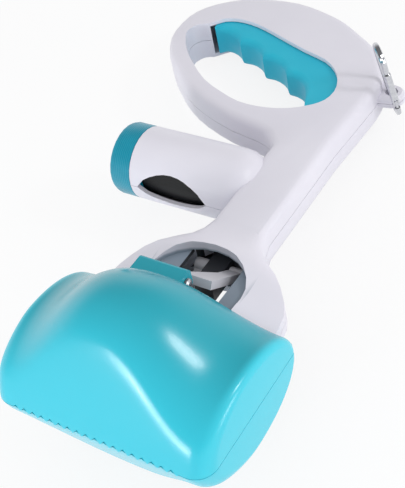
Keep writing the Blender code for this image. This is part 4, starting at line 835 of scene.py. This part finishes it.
def buildJaw():
    far, past = jaws["width"], jaws["overrun"]
    plain = block((-far, jaws["toothZoneY"], -jaws["endCrown"]), (far, 0, jaws["seamGap"] / 2))
    run = jaws["backY"] - hinge["y"] + jaws["reliefRun"]
    y = hinge["y"]
    rise = run * math.tan(jaws["opening"] * jaws["openingRoom"])
    relief = slab([(y, -past), (y + run, -past), (y + run, rise), (y, 0)], -far, far)
    # The drum comes out of the full body first, because the boolean can lose the thin shell to it.
    shell = carve(jawSolid(0.0), "DIFFERENCE", drumRoom(), relief)
    shell = carve(shell, "DIFFERENCE", jawSolid(jaws["wall"], jaws["endCrown"]), toothComb(), plain)
    start = hinge["skirtHalfWidth"] + hinge["earGap"]
    places = (start, -start - hinge["earStep"] - hinge["earThickness"])
    for x in places:
        shell = carve(shell, "UNION", *jawEar(x))
    shell = carve(shell, "UNION", *knuckleTab())
    bore = hinge["pinRadius"] + hinge["seatGap"]
    for x in places:
        ends = (x - hinge["earGap"], x + hinge["earThickness"] + hinge["earGap"])
        pinBore = turned([(end, bore) for end in ends], (0, y, 0), hinge["pinSides"])
        shell = carve(shell, "DIFFERENCE", pinBore)
    slotLow = knuckle["pinY"] - 2 * knuckle["pinRadius"]
    slot = block((knuckle["slotLeftX"], slotLow, knuckle["footZ"] - past),
                 (knuckle["slotRightX"], knuckle["backY"] + past, knuckle["topZ"] - knuckle["roof"]))
    middle = (0, knuckle["pinY"], knuckle["pinZ"])
    radius = knuckle["pinRadius"] + hinge["seatGap"]
    ends = (knuckle["slotLeftX"] - 2.5 * knuckle["pinRadius"], knuckle["rightX"] + past)
    pinWay = turned([(end, radius) for end in ends], middle, hinge["pinSides"])
    radius = knuckle["domeRadius"] + knuckle["domeGap"]
    ends = (knuckle["rightX"], knuckle["rightX"] + 2 * knuckle["domeRadius"])
    domeRoom = turned([(end, radius) for end in ends], middle, hinge["pinSides"])
    return carve(shell, "DIFFERENCE", slot, pinWay, domeRoom)


frontJaw = buildJaw()
rearJaw = frontJaw.copy()
rearJaw.data = frontJaw.data.copy()
bpy.context.scene.collection.objects.link(rearJaw)
rearJaw.data.transform(Matrix.Rotation(math.pi, 4, "Y"))
placePiece(frontJaw, "frontJawShell", "front_jaw_body", "jaw_plastic", ["front_jaw"])
placePiece(rearJaw, "rearJawShell", "rear_jaw_body", "jaw_plastic", ["rear_jaw"])
print("jaws built:", len(frontJaw.data.polygons), "faces each")


# Camera: where the photograph was taken from, in the handle's frame, in millimetres.
camera = {
    "place": (236.0, -270.1, 360.2),
    "imageRight": (0.8424, 0.5108, -0.1716),
    "imageDown": (0.2513, -0.6541, -0.7134),
    "focalPixels": 1130.3,
    "imageHeight": 488,
    "sensor": 36,
    "clipStart": 0.01,  # metres
}


def placeCamera(look):
    data = bpy.data.cameras.new("photoCamera")
    data.sensor_width = look["sensor"]
    data.lens = look["focalPixels"] * look["sensor"] / look["imageHeight"]
    data.clip_start = look["clipStart"]
    obj = bpy.data.objects.new("photoCamera", data)
    bpy.context.scene.collection.objects.link(obj)
    right = Vector(look["imageRight"]).normalized()
    up = -Vector(look["imageDown"])
    up = (up - right * up.dot(right)).normalized()
    turn = Matrix((right, up, right.cross(up))).transposed().to_4x4()
    turn.translation = Vector(look["place"]) * mm
    obj.matrix_world = handleFrame @ turn
    bpy.context.scene.camera = obj


placeCamera(camera)


# Studio: a pale sweep under soft boxes, plain light in which a colour renders about as written.
studio = {
    "floorColour": "#F4F4F6",
    "floorSize": 3.0,
    "floorGlow": 0.84,
    "floorBelow": 0.05 * mm,
    "fibreSize": 3 * mm,
    "fibreDepth": 0.05 * mm,
    "bumpStrength": 0.1,
    "skyColour": "#FFFFFF",
    "skyStrength": 0.79,
    "skyMirrored": (1.0, 0.2),  # what shiny pieces mirror, at the horizon and overhead
    "skyFadeTop": 0.6,
    "boxes": [
        # name, place and aim in the handle's frame in mm, width and height in mm, watts
        ("frontBox", (-170, -740, 90), (0, -60, 20), 300, 240, 1.8),
        ("rightBox", (740, 60, 110), (40, -50, 10), 220, 220, 0.7),
        # two small lamps whose mirror images are the highlights on the shoulder and on the lip's corner
        ("shoulderLamp", (521, 195, 467), (32, -56, 34), 110, 110, 0.9),
        ("cornerLamp", (-192, -740, 63), (48, -84, 11), 60, 60, 0.3),
    ],
}


def softBox(name, place, aim, width, height, watts):
    data = bpy.data.lights.new(name, "AREA")
    data.shape = "RECTANGLE"
    data.size = width * mm
    data.size_y = height * mm
    data.energy = watts
    obj = bpy.data.objects.new(name, data)
    bpy.context.scene.collection.objects.link(obj)
    spot = handleFrame @ (Vector(place) * mm)
    target = handleFrame @ (Vector(aim) * mm)
    aimed = (target - spot).to_track_quat("-Z", "Y")
    obj.matrix_world = Matrix.Translation(spot) @ aimed.to_matrix().to_4x4()


def seenDirectly(tree):
    path = addNode(tree, "ShaderNodeLightPath")
    either = addNode(tree, "ShaderNodeMath", {"operation": "ADD", "use_clamp": True},
                     links={0: path.outputs["Is Camera Ray"], 1: path.outputs["Is Transmission Ray"]})
    return either.outputs["Value"], path.outputs["Is Glossy Ray"]


def buildStudio(look):
    world = bpy.data.worlds.new("studioSky")
    bpy.context.scene.world = world
    world.use_nodes = True
    tree = world.node_tree
    tree.nodes.clear()
    seen, mirrored = seenDirectly(tree)
    direction = addNode(tree, "ShaderNodeTexCoord").outputs["Generated"]
    height = addNode(tree, "ShaderNodeSeparateXYZ", links={"Vector": direction})
    fading = addNode(tree, "ShaderNodeMapRange", {"interpolation_type": "SMOOTHSTEP"},
                     {"From Min": 0.0, "From Max": look["skyFadeTop"],
                      "To Min": look["skyMirrored"][0], "To Max": look["skyMirrored"][1]},
                     {"Value": height.outputs["Z"]})
    plain = addNode(tree, "ShaderNodeMix", values={"A": look["skyStrength"]},
                    links={"Factor": mirrored, "B": fading.outputs["Result"]})
    strength = addNode(tree, "ShaderNodeMapRange", values={"To Max": 1.0},
                       links={"Value": seen, "To Min": plain.outputs["Result"]})
    sky = addNode(tree, "ShaderNodeBackground", values={"Color": toLinear(look["skyColour"])},
                  links={"Strength": strength.outputs["Result"]})
    addNode(tree, "ShaderNodeOutputWorld", links={"Surface": sky.outputs["Background"]})

    mesh = bpy.data.meshes.new("studioFloor")
    half = look["floorSize"] / 2
    mesh.from_pydata([(-half, -half, 0), (half, -half, 0), (half, half, 0), (-half, half, 0)], [],
                     [(0, 1, 2, 3)])
    floor = bpy.data.objects.new("studioFloor", mesh)
    floor.location.z = cadBox[0][2] - look["floorBelow"]
    bpy.context.scene.collection.objects.link(floor)
    material, tree = newTree("pale paper sweep, matt")
    place = addNode(tree, "ShaderNodeTexCoord").outputs["Object"]
    fibres = addNode(tree, "ShaderNodeTexNoise", values={"Scale": 1 / look["fibreSize"], "Detail": 4.0},
                     links={"Vector": place})
    bump = addNode(tree, "ShaderNodeBump",
                   values={"Strength": look["bumpStrength"],
                           "Distance": look["fibreDepth"]}, links={"Height": fibres.outputs["Fac"]})
    paper = addNode(tree, "ShaderNodeBsdfDiffuse", values={"Color": toLinear(look["floorColour"])},
                    links={"Normal": bump.outputs["Normal"]})
    glow = addNode(tree, "ShaderNodeEmission", values={"Strength": 1.0})
    seen, mirrored = seenDirectly(tree)
    either = addNode(tree, "ShaderNodeMath", {"operation": "ADD", "use_clamp": True},
                     links={0: seen, 1: mirrored})
    share = addNode(tree, "ShaderNodeMath", {"operation": "MULTIPLY"}, {1: look["floorGlow"]},
                    {0: either.outputs["Value"]})
    mixed = addNode(tree, "ShaderNodeMixShader",
                    links={0: share.outputs["Value"], 1: paper.outputs["BSDF"],
                           2: glow.outputs["Emission"]})
    addNode(tree, "ShaderNodeOutputMaterial", links={"Surface": mixed.outputs["Shader"]})
    floor.data.materials.append(material)

    for box in look["boxes"]:
        softBox(*box)
    bpy.context.scene.view_settings.view_transform = "Standard"


buildStudio(studio)
print("camera and studio placed")

bpy.context.view_layer.update()
